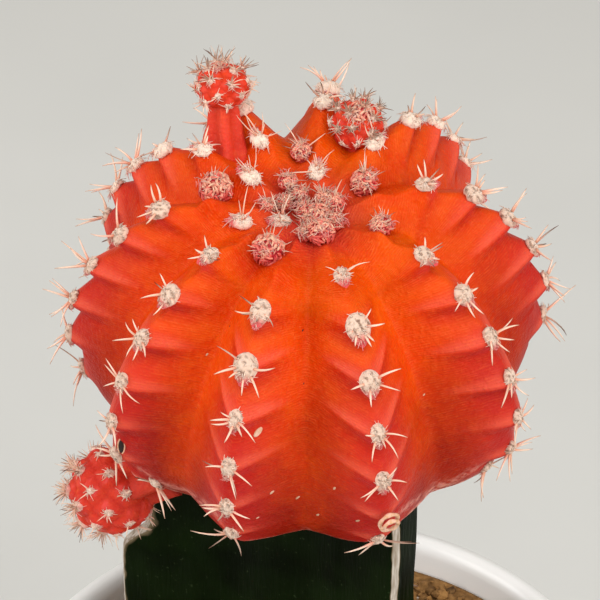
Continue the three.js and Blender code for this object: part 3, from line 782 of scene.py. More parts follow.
# directions of a fan that opens downwards, by the turn from straight down and the rise off the skin
def fan(frames, turn, lift):
    normal, upwards, sideways = frames[1:]
    across = sideways * np.sin(turn)[:, None] - upwards * np.cos(turn)[:, None]
    return across * np.cos(lift)[:, None] + normal * np.sin(lift)[:, None]


# the frames picked by number, and a direction for each: any turn, and low to high degrees off the skin
def spreadAround(frames, which, low, high, more=0):
    many, n = [v[which] for v in frames], len(which)
    turn = rng.uniform(0, 2 * math.pi, n)
    return many, fan(many, turn, np.radians(rng.uniform(low, high, n) + more)), n


woolParts, woolValues = [], []
spineParts, spineValues = [], []


def addWool(surface, tone, depth, blush):
    n = len(surface[0])
    woolParts.append(surface)
    woolValues.append({key: np.broadcast_to(value, n) for key, value in
                       (("tone", tone), ("depth", depth), ("blush", blush))})


def addSpines(surface, values):
    spineParts.append(surface)
    spineValues.append(values)


domes, tail = woolDomes(areoleFrame, areoleRadius, areoles["dome"], tall=areoleTall)
shaggy = ((np.abs(areoleAzimuth) > 110) & (areoleDistance < 34)) | (areoleDistance < 7)
# the back and the youngest tufts painted paler, as if in full light: a fifth of the tan and of the painted
# shade
shade = np.repeat(np.where(shaggy, 0.2, 1), len(domes[0]) // len(shaggy))
# where the painted shade of the hollows falls on the domes
hollows = smooth(lumps(domes[0], 0.55, 12), 0.26, 0.5)
addWool(domes, 0.35 * shade, 0.1 * shade + 0.9 * shade * hollows, tail)
length = np.repeat(np.where(shaggy, 0.9, 0.55), areoles["fibres"])
fibres, tone, tail = woolFibres(areoleFrame, areoleRadius, areoles["dome"], areoles["fibres"],
                                areoles["fibreRadius"], length, tall=areoleTall)
# their fibres painted paler too, as if in full light
shade = np.repeat(np.where(shaggy, 0.3, 1), len(tone) // len(shaggy))
addWool(fibres, tone * shade, 0.0, 0.75 * tail)


# spines that fan out sideways and down: short high on the ribs, long low down; thin and steep
# at the crown, where they still grow
def areoleSpines():
    each = areoles["spines"]
    kept = rng.uniform(0, 1, each * len(areoleDistance)) < 0.88
    spread = lambda v: np.repeat(v, each, 0)[kept]
    many = [spread(v) for v in areoleFrame]
    n = len(many[0])
    distance, young = spread(areoleDistance), spread(areoleDistance < 11.5)
    flank = np.abs(spread(areoleAzimuth))
    outer = spread(np.clip(areoleAzimuth / 20, -1, 1) * 20)
    across = np.tile(np.linspace(-1, 1, each), len(areoleDistance))[kept] * 98
    turn = np.radians(across + outer + rng.normal(0, 12, n))
    lift = rng.uniform(6, 30, n)
    lift += np.where(young, rng.uniform(20, 42, n), (flank > 88) * rng.uniform(8, 36, n))
    direction = fan(many, turn, np.radians(lift))
    size, scale = spread(areoleRadius), spread(0.68 + 0.32 * areoleSize)
    grown = 0.62 + 0.38 * smooth(distance, 14, 26) + 0.5 * smooth(distance, 36, 44)
    growth = np.where(young, rng.uniform(0.7, 1.35, n), grown * (1 + 0.3 * (flank > 70)))
    length = areoles["spineLength"] * rng.uniform(0.72, 1.2, n) * scale * growth
    length *= np.where(rng.uniform(0, 1, n) < 0.14, 0.5, 1)
    foot = many[0] + many[1] * (0.12 * size)[:, None] + direction * (0.72 * size)[:, None]
    old = np.where(distance < 15.5, 0.32, 0.06) + 0.25 * smooth(distance, 40, 46)
    old += 0.12 * (flank > 80) * (distance < 32)
    dark = (rng.uniform(0, 1, n) < old * ~young) * rng.uniform(0.5, 1, n)
    thin = np.where(young, 0.6, np.where(dark > 0, 0.75, 1))
    radius = areoles["spineRadius"] * rng.uniform(0.75, 1.1, n) * thin
    return spineTubes(foot, direction, length, radius, rng.uniform(-0.42, 0.42, n), dark)


addSpines(*areoleSpines())
print("areoles placed:", len(areoleDistance))

# offsets: small heads on necks, covered with spiralling tubercles. Low and high are the count and
# the length of a tubercle's spines below and on the crown, and a knot is young scales on its top
# deep: how far down the skin's colours a head's flesh is taken: redder, and past about 0.34 darker as
# painted shade
offsets = [
    {"middle": (-20.8, -9.6, -19.8), "grows": (-0.92, 0.1, -0.36), "radius": 4.6, "half": 4.7,
     "root": (-15.5, -9.5, -15.5), "neck": (3.3, 2.6), "tubercles": 32, "cover": 1.8, "knot": 0,
     "wool": 0.42, "crownWool": 0.35, "crownFrom": 0.3, "low": (3, 1.4), "high": (26, 1.7),
     "deep": 0.36, "rosy": 0.5, "dark": 0.3},
    {"middle": (-9, 13, 18.7), "grows": (-0.1, 0.35, 0.93), "radius": 2.75, "half": 2.4,
     "root": (-8.5, 7.5, 10.5), "neck": (2.5, 1.15), "tubercles": 24, "cover": 1.7, "knot": 1.1,
     "wool": 0.28, "crownWool": 0.4, "crownFrom": 0.45, "low": (3, 1.15), "high": (12, 1.5),
     "deep": 0.3, "rosy": 0.3, "dark": 0.7},
    {"middle": (4.9, 10.3, 15.8), "grows": (0.1, -0.1, 1), "radius": 2.75, "half": 2.4,
     "root": (4.2, 10.8, 12), "neck": (2.6, 1.7), "tubercles": 18, "cover": 1.12, "knot": 1.8,
     "wool": 0.28, "crownWool": 0.3, "crownFrom": 0.35, "low": (1, 0.6), "high": (16, 1.2),
     "deep": 0.3, "rosy": 0.3, "dark": 0.9},
]


# points spread evenly over a ball from its top down, each a golden angle on from the last
def spiral(count, cover=1.8):
    k = np.arange(count) + 0.5
    z = 1 - cover * k / count
    a = k * math.pi * (3 - math.sqrt(5))
    r = np.sqrt(1 - z ** 2)
    return np.stack([r * np.cos(a), r * np.sin(a), z], -1)


# a head: ellipsoid * (0.96 + 0.08 * bump - 0.04 * crease), where a bump is a round hill at each
# tubercle and a crease runs where two tubercles are equally near
def offsetHead(offset, rows=56, columns=76):
    axis = unit(leaned(np.array(offset["grows"], float)))
    aside = unit(np.cross([0.2, 0.9, 0.4], axis))
    basis = np.stack([aside, np.cross(axis, aside), axis])
    tips = spiral(offset["tubercles"], offset["cover"])
    ball = ballRings(rows, columns, 0.06)
    ends = np.array([[0, 0, 1.0], [0, 0, -1.0]])
    every = np.concatenate([ball.reshape(-1, 3), ends])
    near, second = np.sort(np.linalg.norm(every[:, None] - tips[None], axis=-1), axis=1)[:, :2].T
    spacing = math.sqrt(4 * math.pi / offset["tubercles"])
    bump = bell(near, 0.42 * spacing)
    crease = bell(second - near, 0.16 * spacing)
    scale = np.array([offset["radius"], offset["radius"], offset["half"]])
    middle = inPot(np.array(offset["middle"], float))
    shaped = lambda p, swell: (p * swell[:, None] * scale) @ basis + middle
    swollen = shaped(every, 0.96 + 0.08 * bump - 0.04 * crease)
    surface = closedSurface(swollen[:-2].reshape(rows, columns, 3), swollen[-2], swollen[-1])
    tipPlaces = shaped(tips, np.full(len(tips), 1.02))
    normal = unit((tips / scale) @ basis)
    upwards = unit(axis - normal * (normal @ axis)[:, None] + 1e-3 * aside)
    top = (middle + axis * (offset["half"] - 0.6 * offset["knot"]), axis, basis[1], basis[0])
    return surface, bump, crease, (tipPlaces, normal, upwards, np.cross(upwards, normal)), tips[:, 2], top


# a neck: a tube that narrows from its root to the head and has five flutes: radius = (wide +
# (narrow - wide) * t^0.8) * (1 + 0.18 cos 5a)
def offsetNeck(offset, rows=16, columns=40):
    root, middle = (inPot(np.array(offset[key], float)) for key in ("root", "middle"))
    t = np.linspace(0, 1, rows)[:, None]
    axis = unit(middle - root)
    aside = unit(np.cross([0.2, 0.9, 0.4], axis))
    a = turns(columns)
    wide, narrow = offset["neck"]
    radius = (wide + (narrow - wide) * t ** 0.8) * (1 + 0.18 * np.cos(5 * a))
    ring = circle(a, aside, np.cross(axis, aside))
    rings = root + (middle - root) * t[:, :, None] + radius[..., None] * ring
    groove = np.append(np.broadcast_to((0.5 - 0.5 * np.cos(5 * a)) ** 3, radius.shape).ravel(), [0, 0])
    return closedSurface(rings, root, middle), groove


headParts, headValues = [], []


def addFlesh(surface, crest, paintedShade, pinkAndHighlight, down, blush):
    headParts.append(surface)
    n = len(surface[0])
    values = {"crest": crest, "paintedShade": paintedShade, "pinkAndHighlight": pinkAndHighlight, "down": down, "dry": 0.0, "glow": 0.0,
              "blush": blush}
    headValues.append({key: np.broadcast_to(value, n) for key, value in values.items()})
    headValues[-1]["skinPlace"] = surface[0]


crownKnots = []
for offset in offsets:
    surface, bump, crease, frames, tipPolar, top = offsetHead(offset)
    if offset["knot"]:
        crownKnots.append((*top, offset["knot"]))
    streak = smooth(lumps(surface[0], 1.1, 51), 0.1, 0.7)
    # painted shade in the creases between the tubercles; pink streaks on their faces, partly painted
    # highlight
    addFlesh(surface, 0.5, 0.7 * crease, 0.75 * streak * (1 - crease), offset["deep"],
             offset["rosy"] * (0.4 * bump + 0.6 * streak * (1 - crease) + 0.25))
    neck, groove = offsetNeck(offset)
    # the neck a little darker than its head and deep red in its grooves, both painted shade
    addFlesh(neck, 0.6, 0.9 * groove, 0.25, offset["deep"] + 0.1, 0.15 * (1 - groove))
    onCrown = smooth(tipPolar, offset["crownFrom"] - 0.15, offset["crownFrom"] + 0.15)
    tuft = offset["wool"] * (1 + offset["crownWool"] * onCrown) * rng.uniform(0.85, 1.15, len(tipPolar))
    knobs, tail = woolDomes(frames, tuft, 0.75, rings=7, sides=12)
    addWool(knobs, 0.2, 0.6 * smooth(lumps(knobs[0], 0.4, 13), 0.2, 0.8), 0.06 + 0.4 * tail)
    fibres, tone, tail = woolFibres(frames, tuft, 0.75, 30, 0.045, length=0.7)
    addWool(fibres, 0.7 * tone, 0.0, 0.05 + 0.4 * tail)
    # more and darker spines towards the crown
    (few, short), (dense, long) = offset["low"], offset["high"]
    which = np.repeat(np.arange(len(tipPolar)), np.where(onCrown > 0.5, dense, few))
    many, direction, n = spreadAround(frames, which, 20, 62, 8 * onCrown[which])
    length = rng.uniform(0.6, 1.25, n) * (short + (long - short) * onCrown[which])
    foot = many[0] + direction * 0.25 * tuft[which][:, None]
    dark = (rng.uniform(0, 1, n) < offset["dark"] * onCrown[which]) * rng.uniform(0.5, 1, n)
    radius, bend = 0.085 - 0.012 * onCrown[which], rng.uniform(-0.4, 0.4, n)
    addSpines(*spineTubes(foot, direction, length, radius, bend, dark, sides=4, steps=5))
print("offsets placed:", len(offsets))

budLook = {
    "raise": 0.6,        # how far a bud's middle stands off the skin, in its own radii
    "scales": 130,
    "scaleWidths": [0.9, 1.1, 1.15, 1.1, 0.9, 0.45],   # along a scale, times 0.072 of the bud's radius
    "fibres": 60,
    "bristles": 15,
    "standing": [1, 0, 4, 1, 2, 0, 0, 1] + [0] * 9,   # long pale spines behind each bud
}


# bud scales: blunt strips curled on a small ball, from foot = 0.7 out: foot + t * (0.25 out +
# 0.45 aside) + t^2 * (0.35 turn - 0.25 out), all times the bud's radius
def budScales(centre, radius, frames, count, sides=5):
    tips = spiral(count, 1.45)
    basis = np.stack([frames[3], frames[2], frames[1]], 1)
    out = np.einsum("ck,nkd->ncd", tips, basis).reshape(-1, 3)
    size = np.repeat(radius, count)[:, None]
    top = np.tile(smooth(tips[:, 2], -0.1, 0.6), len(radius)) * rng.uniform(0.3, 1, len(out))
    foot = np.repeat(centre, count, 0) + out * size * rng.uniform(0.62, 0.76, (len(out), 1))
    steps = len(budLook["scaleWidths"])
    t = np.linspace(0, 1, steps)[:, None]
    aside = rng.normal(size=out.shape)
    aside = unit(aside - out * (aside * out).sum(-1, keepdims=True))
    turn = np.cross(out, aside)
    paths = foot[:, None] + size[:, None] * (t * (0.25 * out + 0.45 * aside)[:, None]
                                             + t ** 2 * (0.35 * turn - 0.25 * out)[:, None])
    radii = size * 0.072 * rng.uniform(0.7, 1.3, (len(size), 1)) * budLook["scaleWidths"]
    tone = rng.uniform(0, 1, len(foot))
    each = lambda v: np.repeat(v, steps * sides)
    along = np.tile(np.repeat(t[:, 0], sides), len(foot))
    return tubes(paths, radii, sides), {"along": along, "tone": each(tone), "top": each(top)}


# the ball under the scales, a little inside their feet: 0.76 * radius
def budCores(centre, radius, frames):
    ball = ballRings(10, 16, 0.15)
    basis = np.stack([frames[3], frames[2], frames[1]], 1)
    reach = (0.76 * radius)[:, None]
    rings = centre[:, None, None] + reach[:, None, None] * np.einsum("rsk,nkd->nrsd", ball, basis)
    poles = [centre + reach * frames[1], centre - reach * frames[1]]
    balls = closedSurfaces(rings, *poles)
    n = len(balls[0])
    return balls, {"along": np.zeros(n), "tone": np.zeros(n), "top": np.zeros(n)}


def mergedValues(valueSets):
    return {key: np.concatenate([v[key] for v in valueSets]) for key in valueSets[0]}


def placeBuds():
    frames = skinFrames(buds[:, 0], buds[:, 1])
    radius = buds[:, 2]
    raised = [frames[0] + frames[1] * (budLook["raise"] * radius)[:, None], *frames[1:]]
    # and the knots of young scales on the crowns of the offsets
    raised = [np.concatenate([v, np.array([knot[k] for knot in crownKnots])]) for k, v in enumerate(raised)]
    radius = np.append(radius, [knot[4] for knot in crownKnots])
    scales, scaleValues = budScales(raised[0], radius, raised, budLook["scales"])
    cores, coreValues = budCores(raised[0], radius, raised)
    values = mergedValues([scaleValues, coreValues])
    makePiece("flowerBuds", joined([scales, cores]), budScale, "scion", values)
    fibres, tone, tail = woolFibres(raised, radius * 0.78, 1.12, budLook["fibres"], 0.055, length=0.75)
    addWool(fibres, 0.1 + 0.6 * tone, 0.05, 0.2 + 0.6 * tail)
    each = budLook["bristles"]
    many, direction, n = spreadAround(raised, np.repeat(np.arange(len(radius)), each), 12, 80)
    foot = many[0] + direction * np.repeat(radius, each)[:, None] * 0.75
    dark = np.where(rng.uniform(0, 1, n) < 0.6, rng.uniform(0.5, 0.9, n), 0.1)
    length = rng.uniform(0.7, 1.5, n) * np.repeat(0.6 + 0.3 * radius, each)
    bend = rng.uniform(-0.45, 0.45, n)
    addSpines(*spineTubes(foot, direction, length, np.full(n, 0.055), bend, dark, sides=4))
    # a few long pale spines that stand up behind the outer buds, away from the apex
    standing = np.repeat(np.arange(len(buds)), budLook["standing"])
    many = [v[standing] for v in raised]
    n = len(standing)
    direction = fan(many, rng.normal(0, 0.6, n), np.radians(rng.uniform(48, 74, n)))
    foot = many[0] + direction * radius[standing][:, None] * 0.6
    length, bend = rng.uniform(2.2, 3.1, n), rng.uniform(-0.2, 0.2, n)
    addSpines(*spineTubes(foot, direction, length, np.full(n, 0.085), bend, np.zeros(n)))
    print("buds placed:", len(buds))


placeBuds()

makePiece("offsetHeads", joined(headParts), flesh, "scion", mergedValues(headValues))
makePiece("areoleWool", joined(woolParts[:2]), wool, "scion", mergedValues(woolValues[:2]))
makePiece("crownWool", joined(woolParts[2:]), wool, "scion", mergedValues(woolValues[2:]))
makePiece("scionSpines", joined(spineParts), spineHorn, "scion", mergedValues(spineValues))


# small marks: a dried flower's curl, a seed husk by the large offset and tan scars
marks = {
    "curl": (18.4, 39.6),     # azimuth and distance from the apex
    "seed": (-54, 39.7),
    # azimuth, distance from the apex, half length and darkness of each scar or speck
    "scars": [(-14.4, 28.6, 0.66, 0.12), (-10, 37.5, 0.3, 0.2), (-4, 39.6, 0.28, 0.3),
              (6, 37.0, 0.25, 0.2), (12, 41, 0.3, 0.3), (-13, 41, 0.22, 0.2), (2, 42.2, 0.25, 0.3),
              (-40, 24, 0.2, 0.2), (40, 30, 0.2, 0.2), (-3.5, 17.5, 0.16, 1.0),
              (-2.4, 24.3, 0.13, 1.0), (-35.4, 19.5, 0.12, 1.0)],
}


# a ring and a half of dried flower, wound like a spring: (cos a, 1.25 sin a) * radius + rise
def driedCurl(steps=48, sides=6):
    spot = (np.array([v]) for v in (*marks["curl"], 1.0, 0.0))
    place, normal, upwards, sideways = (v[0] for v in areoleFrames(*spot))
    a = np.linspace(-0.9, 9.4, steps)
    loop = (1.05 - 0.03 * a)[:, None] * circle(a, sideways, 1.25 * upwards)
    path = place + loop + normal * (0.35 + 0.1 * a)[:, None]
    fromEnds = np.minimum(np.arange(steps), np.arange(steps)[::-1])
    radii = 0.23 * (1 + 0.2 * np.sin(5 * a)) * np.minimum(1, fromEnds / 4 + 0.3)
    tone = np.repeat(0.06 + 0.06 * np.sin(3 * a), sides)
    return tubes(path[None], radii[None], sides), tone


# a seed's husk: an oval rim, (0.36 cos a, 0.76 sin a), around a dark lens
def seedHusk(steps=26):
    place, normal = skinSpot(*marks["seed"])
    aside, upright = np.array([0.95, -0.2, -0.2]), np.array([0.05, 0.6, 0.8])
    middle = place + normal * 1.2 + 0.95 * aside + 1.05 * upright
    oval = lambda a: circle(a, 0.36 * aside, 0.76 * upright)
    thickness = 0.05 + 0.05 * np.sin(math.pi * np.linspace(0, 1, steps)) ** 0.5
    rim = tubes((middle + oval(np.linspace(-1.3, 4.3, steps)))[None], thickness[None], 6)
    level = np.linspace(0.3, math.pi - 0.3, 7)[:, None, None]
    depth = unit(np.cross(aside, upright)) * 0.14
    rings = middle + 0.9 * np.sin(level) * oval(turns(20)) + np.cos(level) * depth
    lens = closedSurface(rings, middle + depth, middle - depth)
    return joined([rim, lens]), np.append(np.full(len(rim[0]), 0.12), np.full(len(lens[0]), 1.0))


# scars: low lens-shaped flakes, their half sizes wide, 0.5 * wide and 0.12 * wide
def scarFlakes():
    parts, tone = [], []
    for azimuth, distance, wide, dark in marks["scars"]:
        place, normal = skinSpot(azimuth, distance)
        aside = unit(np.cross(normal, np.cross([0.6, 0.49, 0.63], normal)))
        high = 0.12 * wide * normal
        level = np.linspace(0.25, math.pi - 0.25, 6)[:, None, None]
        ring = circle(turns(12), aside, 0.5 * np.cross(normal, aside))
        rings = place + wide * np.sin(level) * ring + np.cos(level) * high
        parts.append(closedSurface(rings, place + high, place - high))
        tone.append(np.full(len(parts[-1][0]), dark))
    return joined(parts), np.concatenate(tone)


husks = [driedCurl(), seedHusk(), scarFlakes()]
tone = np.concatenate([h[1] for h in husks])
makePiece("driedMarks", joined([h[0] for h in husks]), husk, "scion", {"tone": tone})


# the number of the nearest wing, and the degrees from its middle, -60 to 60
def nearestWing(azimuth):
    turned = azimuth - stock["turn"]
    return np.mod(np.round(turned / 120).astype(int), 3), np.mod(turned + 60, 120) - 60


# a wing's reach: less lobeDepth * |cos|^6 at each areole, a step at the shoulder and the top bevel
def stockReach(azimuth, height):
    wing = nearestWing(azimuth)[0]
    reach, shoulder = np.moveaxis(np.array(stock["wings"])[wing], -1, 0)
    phase = (height - stock["areoleHeight"] - wing * stock["wingShift"]) / stock["lobeSpacing"]
    dip = np.abs(np.cos(math.pi * phase)) ** 6
    trim = smooth(height, stock["shoulderHeight"] - 2, stock["shoulderHeight"] + 2)
    bevel = stock["topBevel"] * smooth(height, scion["graftHeight"] - 2, scion["graftHeight"])
    return reach - stock["lobeDepth"] * dip - shoulder * trim - bevel


# how far round a wing leans, growing from the soil up
def stockBend(wing, height):
    return np.array(stock["bend"])[wing] * smooth(height, 57, 63)


# exp(-(angle beyond the wing's blunt edge / wing angle)^1.2)
def wingShare(turned, room=0.0):
    away = np.maximum(np.abs(turned) - stock["wingBlunt"], 0)
    return np.exp(-((away / (stock["wingAngle"] + room)) ** 1.2))


# rootstock: radius = waist + (reach - waist) * share, stepped in by 0.5 beside the cork edge, with
# soft swellings between the wings
def stockGrid():
    near = np.concatenate([np.linspace(0, 8, 22), np.linspace(9, 60, 26)[:-1]])
    half = np.concatenate([-near[:0:-1], near])
    azimuth = (stock["turn"] + np.array([0, 120, 240])[:, None] + np.append(half, 60)[None]).ravel()
    height = np.linspace(stock["foot"], scion["graftHeight"], stock["rows"])[:, None]
    azimuths = azimuth[None] + 0 * height
    reach = stockReach(azimuths, height)
    wing, turned = nearestWing(azimuths)
    turned = np.where(turned == -60, 60, turned)
    share = wingShare(turned)
    radius = stock["waist"] + (reach - stock["waist"]) * share
    edge = np.abs(turned) * math.pi / 180 * radius        # distance round from the wing's edge
    radius = radius - 0.5 * smooth(edge, stock["corkWidth"], 3 * stock["corkWidth"]) * (edge < 3)
    azimuths = azimuths + stockBend(wing, height) * share
    points = outward(azimuths) * radius[..., None]
    points[..., 2] = height
    rough = lumps(points, 1.2, 21)
    corkReach = stock["corkWidth"] * (1 + 0.15 * rough) * np.array([1, 1, 1.7])[wing]
    cork = np.exp(-((edge / corkReach) ** 4))
    patchHeight, halfHeight, halfWidth = stock["corkPatch"]
    patch = (wing == 2) * bell(height - patchHeight, halfHeight) * bell(edge, halfWidth)
    patch = patch * (0.9 + 0.3 * rough)
    cork = np.clip(cork * (1 - 0.5 * np.clip(patch, 0, 1)) + 0.45 * np.maximum(patch, 0), 0, 1)
    swell = 0.12 * lumps(points, 7.0, 22) * (1 - share) + 0.04 * rough * cork
    fade = smooth(height, stock["foot"], stock["foot"] + 2) * (1 - smooth(height, 100, 102))
    points[..., :2] += outward(azimuths)[..., :2] * (swell * fade)[..., None]
    return points, cork


stockPoints, cork = stockGrid()
stockEnds = (skyward * stock["foot"], skyward * scion["graftHeight"])
stockSurface = closedSurface(stockPoints, *stockEnds)
makePiece("rootstockStem", stockSurface, stockSkin, "rootstock", {"cork": withPoles(cork)})

# its areoles: short dark thorns and a little grey wool at every dip of a wing
heights, azimuths = [], []
for wing in range(3):
    level = stock["areoleHeight"] + wing * stock["wingShift"] + (np.arange(8) - 4) * stock["lobeSpacing"]
    level = level[(level > stock["areolesShown"][0]) & (level < stock["areolesShown"][1])]
    heights.append(level)
    azimuths.append(stock["turn"] + 120.0 * wing + stockBend(wing, level))
heights, azimuths = np.concatenate(heights), np.concatenate(azimuths)
normal = outward(azimuths)
place = normal * (stockReach(azimuths, heights) - 0.35)[:, None] + skyward * heights[:, None]
upwards = np.tile(skyward, (len(heights), 1))
stockFrames = (place, normal, upwards, np.cross(upwards, normal))
fibres, tone, tail = woolFibres(stockFrames, np.full(len(heights), 0.6), 0.5, 40, 0.06, length=0.45)
makePiece("stockWool", fibres, wool, "rootstock",
          {"tone": tone, "depth": np.full(len(tone), 0.45), "blush": np.zeros(len(tone))})
many, direction, n = spreadAround(stockFrames, np.repeat(np.arange(len(heights)), 4), 25, 60)
thorns, thornValues = spineTubes(many[0], direction, rng.uniform(1.0, 1.7, n), np.full(n, 0.16),
                                 rng.uniform(-0.1, 0.1, n), np.full(n, 0.8), sides=5, steps=5)
makePiece("stockThorns", thorns, spineHorn, "rootstock", thornValues)

# pot: radius and height along its outside and inside, turned about the axis
pot = {
    "outside": [(20, 1.5), (20.5, 0), (23.5, 0), (24.5, 1.2), (29.2, 30), (32.2, 46), (33.3, 52),
                (34, 56.5), (34, 58.6), (33.4, 59.6), (32.4, 60)],
    "inside": [(19.5, 4), (21.5, 6), (26.4, 28), (29.4, 45), (30.9, 55), (31.1, 58.8), (31.6, 59.7)],
    "drain": 5,
    "sides": 180,
}


# turned wall: the profile cut into short steps, with its corners eased: (before + 2 here + after) / 4
def potSurface():
    outside, inside = np.array(pot["outside"], float), np.array(pot["inside"], float)[::-1]
    drain = np.array([[pot["drain"], 4], [pot["drain"], 1.5]])
    corners = np.concatenate([outside, inside, drain, outside[:1]])
    arc = np.concatenate([[0], np.cumsum(np.linalg.norm(np.diff(corners, axis=0), axis=1))])
    at = np.unique(np.concatenate([arc[:-1], np.linspace(0, arc[-1], 230, endpoint=False)]))
    line = np.stack([np.interp(at, arc, corners[:, k]) for k in (0, 1)], -1)
    eased = (np.roll(line, 1, 0) + 2 * line + np.roll(line, -1, 0)) / 4
    line = np.where((line[:, 1] > 0.5)[:, None], eased, line)
    a = np.arange(pot["sides"]) * 360 / pot["sides"]
    points = outward(a)[None] * line[:, 0, None, None] + skyward * line[:, 1, None, None]
    rows, columns = points.shape[:2]
    faces = gridFaces(rows + 1, columns) % (rows * columns)
    points = points.reshape(-1, 3)
    return points, [faces] if volume(points, [faces]) > 0 else [faces[:, ::-1]]


makePiece("potWall", potSurface(), potSkin, "pot")

soil = {"top": 56, "gap": 0.3, "roughness": 0.85, "grains": 2600, "rows": 46, "columns": 240}


# the soil's outer radius at a height: the pot's inside less the gap
def soilWall(height):
    radius, level = np.array(pot["inside"], float).T
    return np.interp(height, level, radius) - soil["gap"]


# the radius of the hole for the stock: its undipped outline and a little room
def holeRadius(azimuth):
    wing, turned = nearestWing(azimuth)
    reach = np.array(stock["wings"])[wing, 0]
    share = wingShare(turned, 1.2)
    return stock["waist"] + 0.35 + (reach + 0.3 - stock["waist"]) * share


# the bed's height: top + roughness * (0.6 lumps of 4 mm + 0.4 lumps of 1.3 mm)
def soilLevel(points):
    flat = points * [1, 1, 0]
    return soil["top"] + soil["roughness"] * (0.6 * lumps(flat, 4.0, 31) + 0.4 * lumps(flat, 1.3, 32))


# soil bed: down the hole's wall, across the rough top and down inside the pot's wall
def soilSurface():
    azimuth = np.arange(soil["columns"]) * 360 / soil["columns"]
    hole = holeRadius(azimuth)
    share = np.linspace(0, 1, soil["rows"])[:, None]
    wall = soilWall(soil["top"])
    across = outward(azimuth)[None] * (hole + (wall - hole) * share)[..., None]
    fade = np.minimum(smooth(share, 0, 0.08), 1 - smooth(share, 0.95, 1))
    across[..., 2] = soil["top"] + (soilLevel(across) - soil["top"]) * fade
    depths = np.linspace(stock["foot"], 50, 6)
    floor = outward(azimuth)[None] * hole[:, None] + skyward * depths[:, None, None]
    levels = np.array([50, 45, 28, 16, 6, 4.0])
    sides = outward(azimuth)[None] * soilWall(levels)[:, None, None] + skyward * levels[:, None, None]
    grid = np.concatenate([floor, across, sides])
    return closedSurface(grid, skyward * stock["foot"], skyward * levels[-1])


# grains: twelve-cornered lumps, each corner pushed in or out, squashed and turned at random
def soilGrains(count):
    g = (1 + math.sqrt(5)) / 2
    corners = unit(np.array([[-1, g, 0], [1, g, 0], [-1, -g, 0], [1, -g, 0],
                             [0, -1, g], [0, 1, g], [0, -1, -g], [0, 1, -g],
                             [g, 0, -1], [g, 0, 1], [-g, 0, -1], [-g, 0, 1]]))
    faces = np.array([[0, 11, 5], [0, 5, 1], [0, 1, 7], [0, 7, 10], [0, 10, 11], [1, 5, 9], [5, 11, 4],
                      [11, 10, 2], [10, 7, 6], [7, 1, 8], [3, 9, 4], [3, 4, 2], [3, 2, 6], [3, 6, 8],
                      [3, 8, 9], [4, 9, 5], [2, 4, 11], [6, 2, 10], [8, 6, 7], [9, 8, 1]])
    azimuth = rng.uniform(0, 360, count)
    low, high = holeRadius(azimuth) + 1.2, soilWall(soil["top"]) - 0.9
    radius = np.sqrt(low ** 2 + (high ** 2 - low ** 2) * rng.uniform(0, 1, count))
    place = outward(azimuth) * radius[:, None]
    size = 0.25 + 0.75 * rng.uniform(0, 1, count) ** 2.5
    place[:, 2] = soilLevel(place) + 0.1 * size
    axes = np.linalg.qr(rng.normal(size=(count, 3, 3)))[0]
    stretch = rng.uniform(0.5, 1.25, (count, 1, 3)) * rng.uniform(0.8, 1.15, (count, 12, 1))
    points = place[:, None] + size[:, None, None] * np.einsum("nck,nkd->ncd", corners * stretch, axes)
    shift = (np.arange(count) * 12)[:, None, None]
    turned = np.linalg.det(axes) < 0
    every = np.where(turned[:, None, None], faces[None, :, ::-1], faces[None]) + shift
    pale = np.repeat((rng.uniform(0, 1, count) < 0.01) * 0.6, 12)
    tone = np.repeat(rng.uniform(0, 1, count), 12)
    return (points.reshape(-1, 3), [every.reshape(-1, 3)]), {"tone": tone, "pale": pale}


bed = soilSurface()
bedTone = np.clip(0.5 + 0.4 * lumps(bed[0], 2.0, 33), 0, 1)
makePiece("soilBed", bed, earth, "soil", {"tone": bedTone, "pale": 0 * bedTone})
grains, grainValues = soilGrains(soil["grains"])
makePiece("soilGrains", grains, earth, "soil", grainValues, smoothed=False)

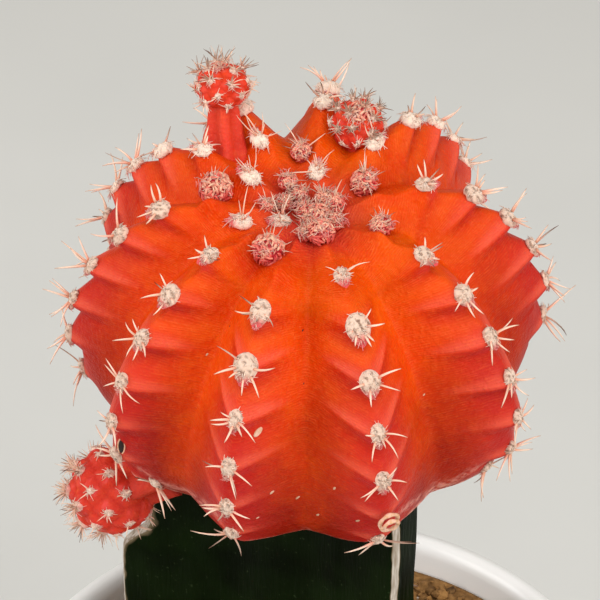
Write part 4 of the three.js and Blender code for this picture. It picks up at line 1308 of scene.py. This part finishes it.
studio = {
    "distance": 500,       # camera to the scion's middle, in mm
    "elevation": 38,
    "aside": -1.04,        # the axis passes this far left of the scion's middle
    "lens": 288.9,
    "sensor": 36,
    "floorColour": "#D6D6D2",
    "floorShade": "#CDCDC9",
    "roomColour": "#EFEAE3",
    "roomLight": 0.5,
    "litPoint": (0, 0, 0.11),
    # place in metres, width and power of each soft light
    "lights": {"skyPanel": ((0.05, -0.3, 0.7), 0.5, 2.7), "sidePanel": ((0.5, -0.4, 0.34), 0.4, 2.4),
               "leftPanel": ((-0.55, -0.15, 0.34), 0.4, 2.1)},
}


def makeStudio():
    bpy.ops.mesh.primitive_circle_add(vertices=96, radius=2.2, fill_type="NGON")
    floor = bpy.context.object
    floor.name = "studioFloor"
    material, tree = newMaterial("pale painted board")
    cloud = addNode(tree, "TexNoise", {"Vector": inMillimetres(tree), "Scale": 1 / 40, "Detail": 3.0})
    finishMaterial(tree, studio["floorColour"], [(cloud, 0, 1, 1, studio["floorShade"])], Roughness=0.8)
    floor.data.materials.append(material)

    world = bpy.data.worlds.new("softRoom")
    world.use_nodes = True
    room = world.node_tree.nodes["Background"].inputs
    room["Color"].default_value = linear(studio["roomColour"])
    room["Strength"].default_value = studio["roomLight"]
    bpy.context.scene.world = world
    for name, (place, size, power) in studio["lights"].items():
        light = bpy.data.lights.new(name, "AREA")
        light.size, light.energy = size, power
        lamp = bpy.data.objects.new(name, light)
        lamp.location = place
        towards = Vector(studio["litPoint"]) - Vector(place)
        lamp.rotation_euler = towards.to_track_quat("-Z", "Y").to_euler()
        bpy.context.scene.collection.objects.link(lamp)

    a = math.radians(studio["elevation"])
    camera = bpy.data.cameras.new("camera")
    camera.lens, camera.sensor_width = studio["lens"], studio["sensor"]
    camera.clip_start, camera.clip_end = 0.05, 10
    eye = bpy.data.objects.new("camera", camera)
    reach = studio["distance"] * mm
    middle = scion["centre"][2] * mm
    eye.location = (studio["aside"] * mm, -reach * math.cos(a), middle + reach * math.sin(a))
    eye.rotation_euler = (math.pi / 2 - a, 0, 0)
    bpy.context.scene.collection.objects.link(eye)
    bpy.context.scene.camera = eye
    bpy.context.scene.view_settings.view_transform = "Standard"


makeStudio()
print("studio made")
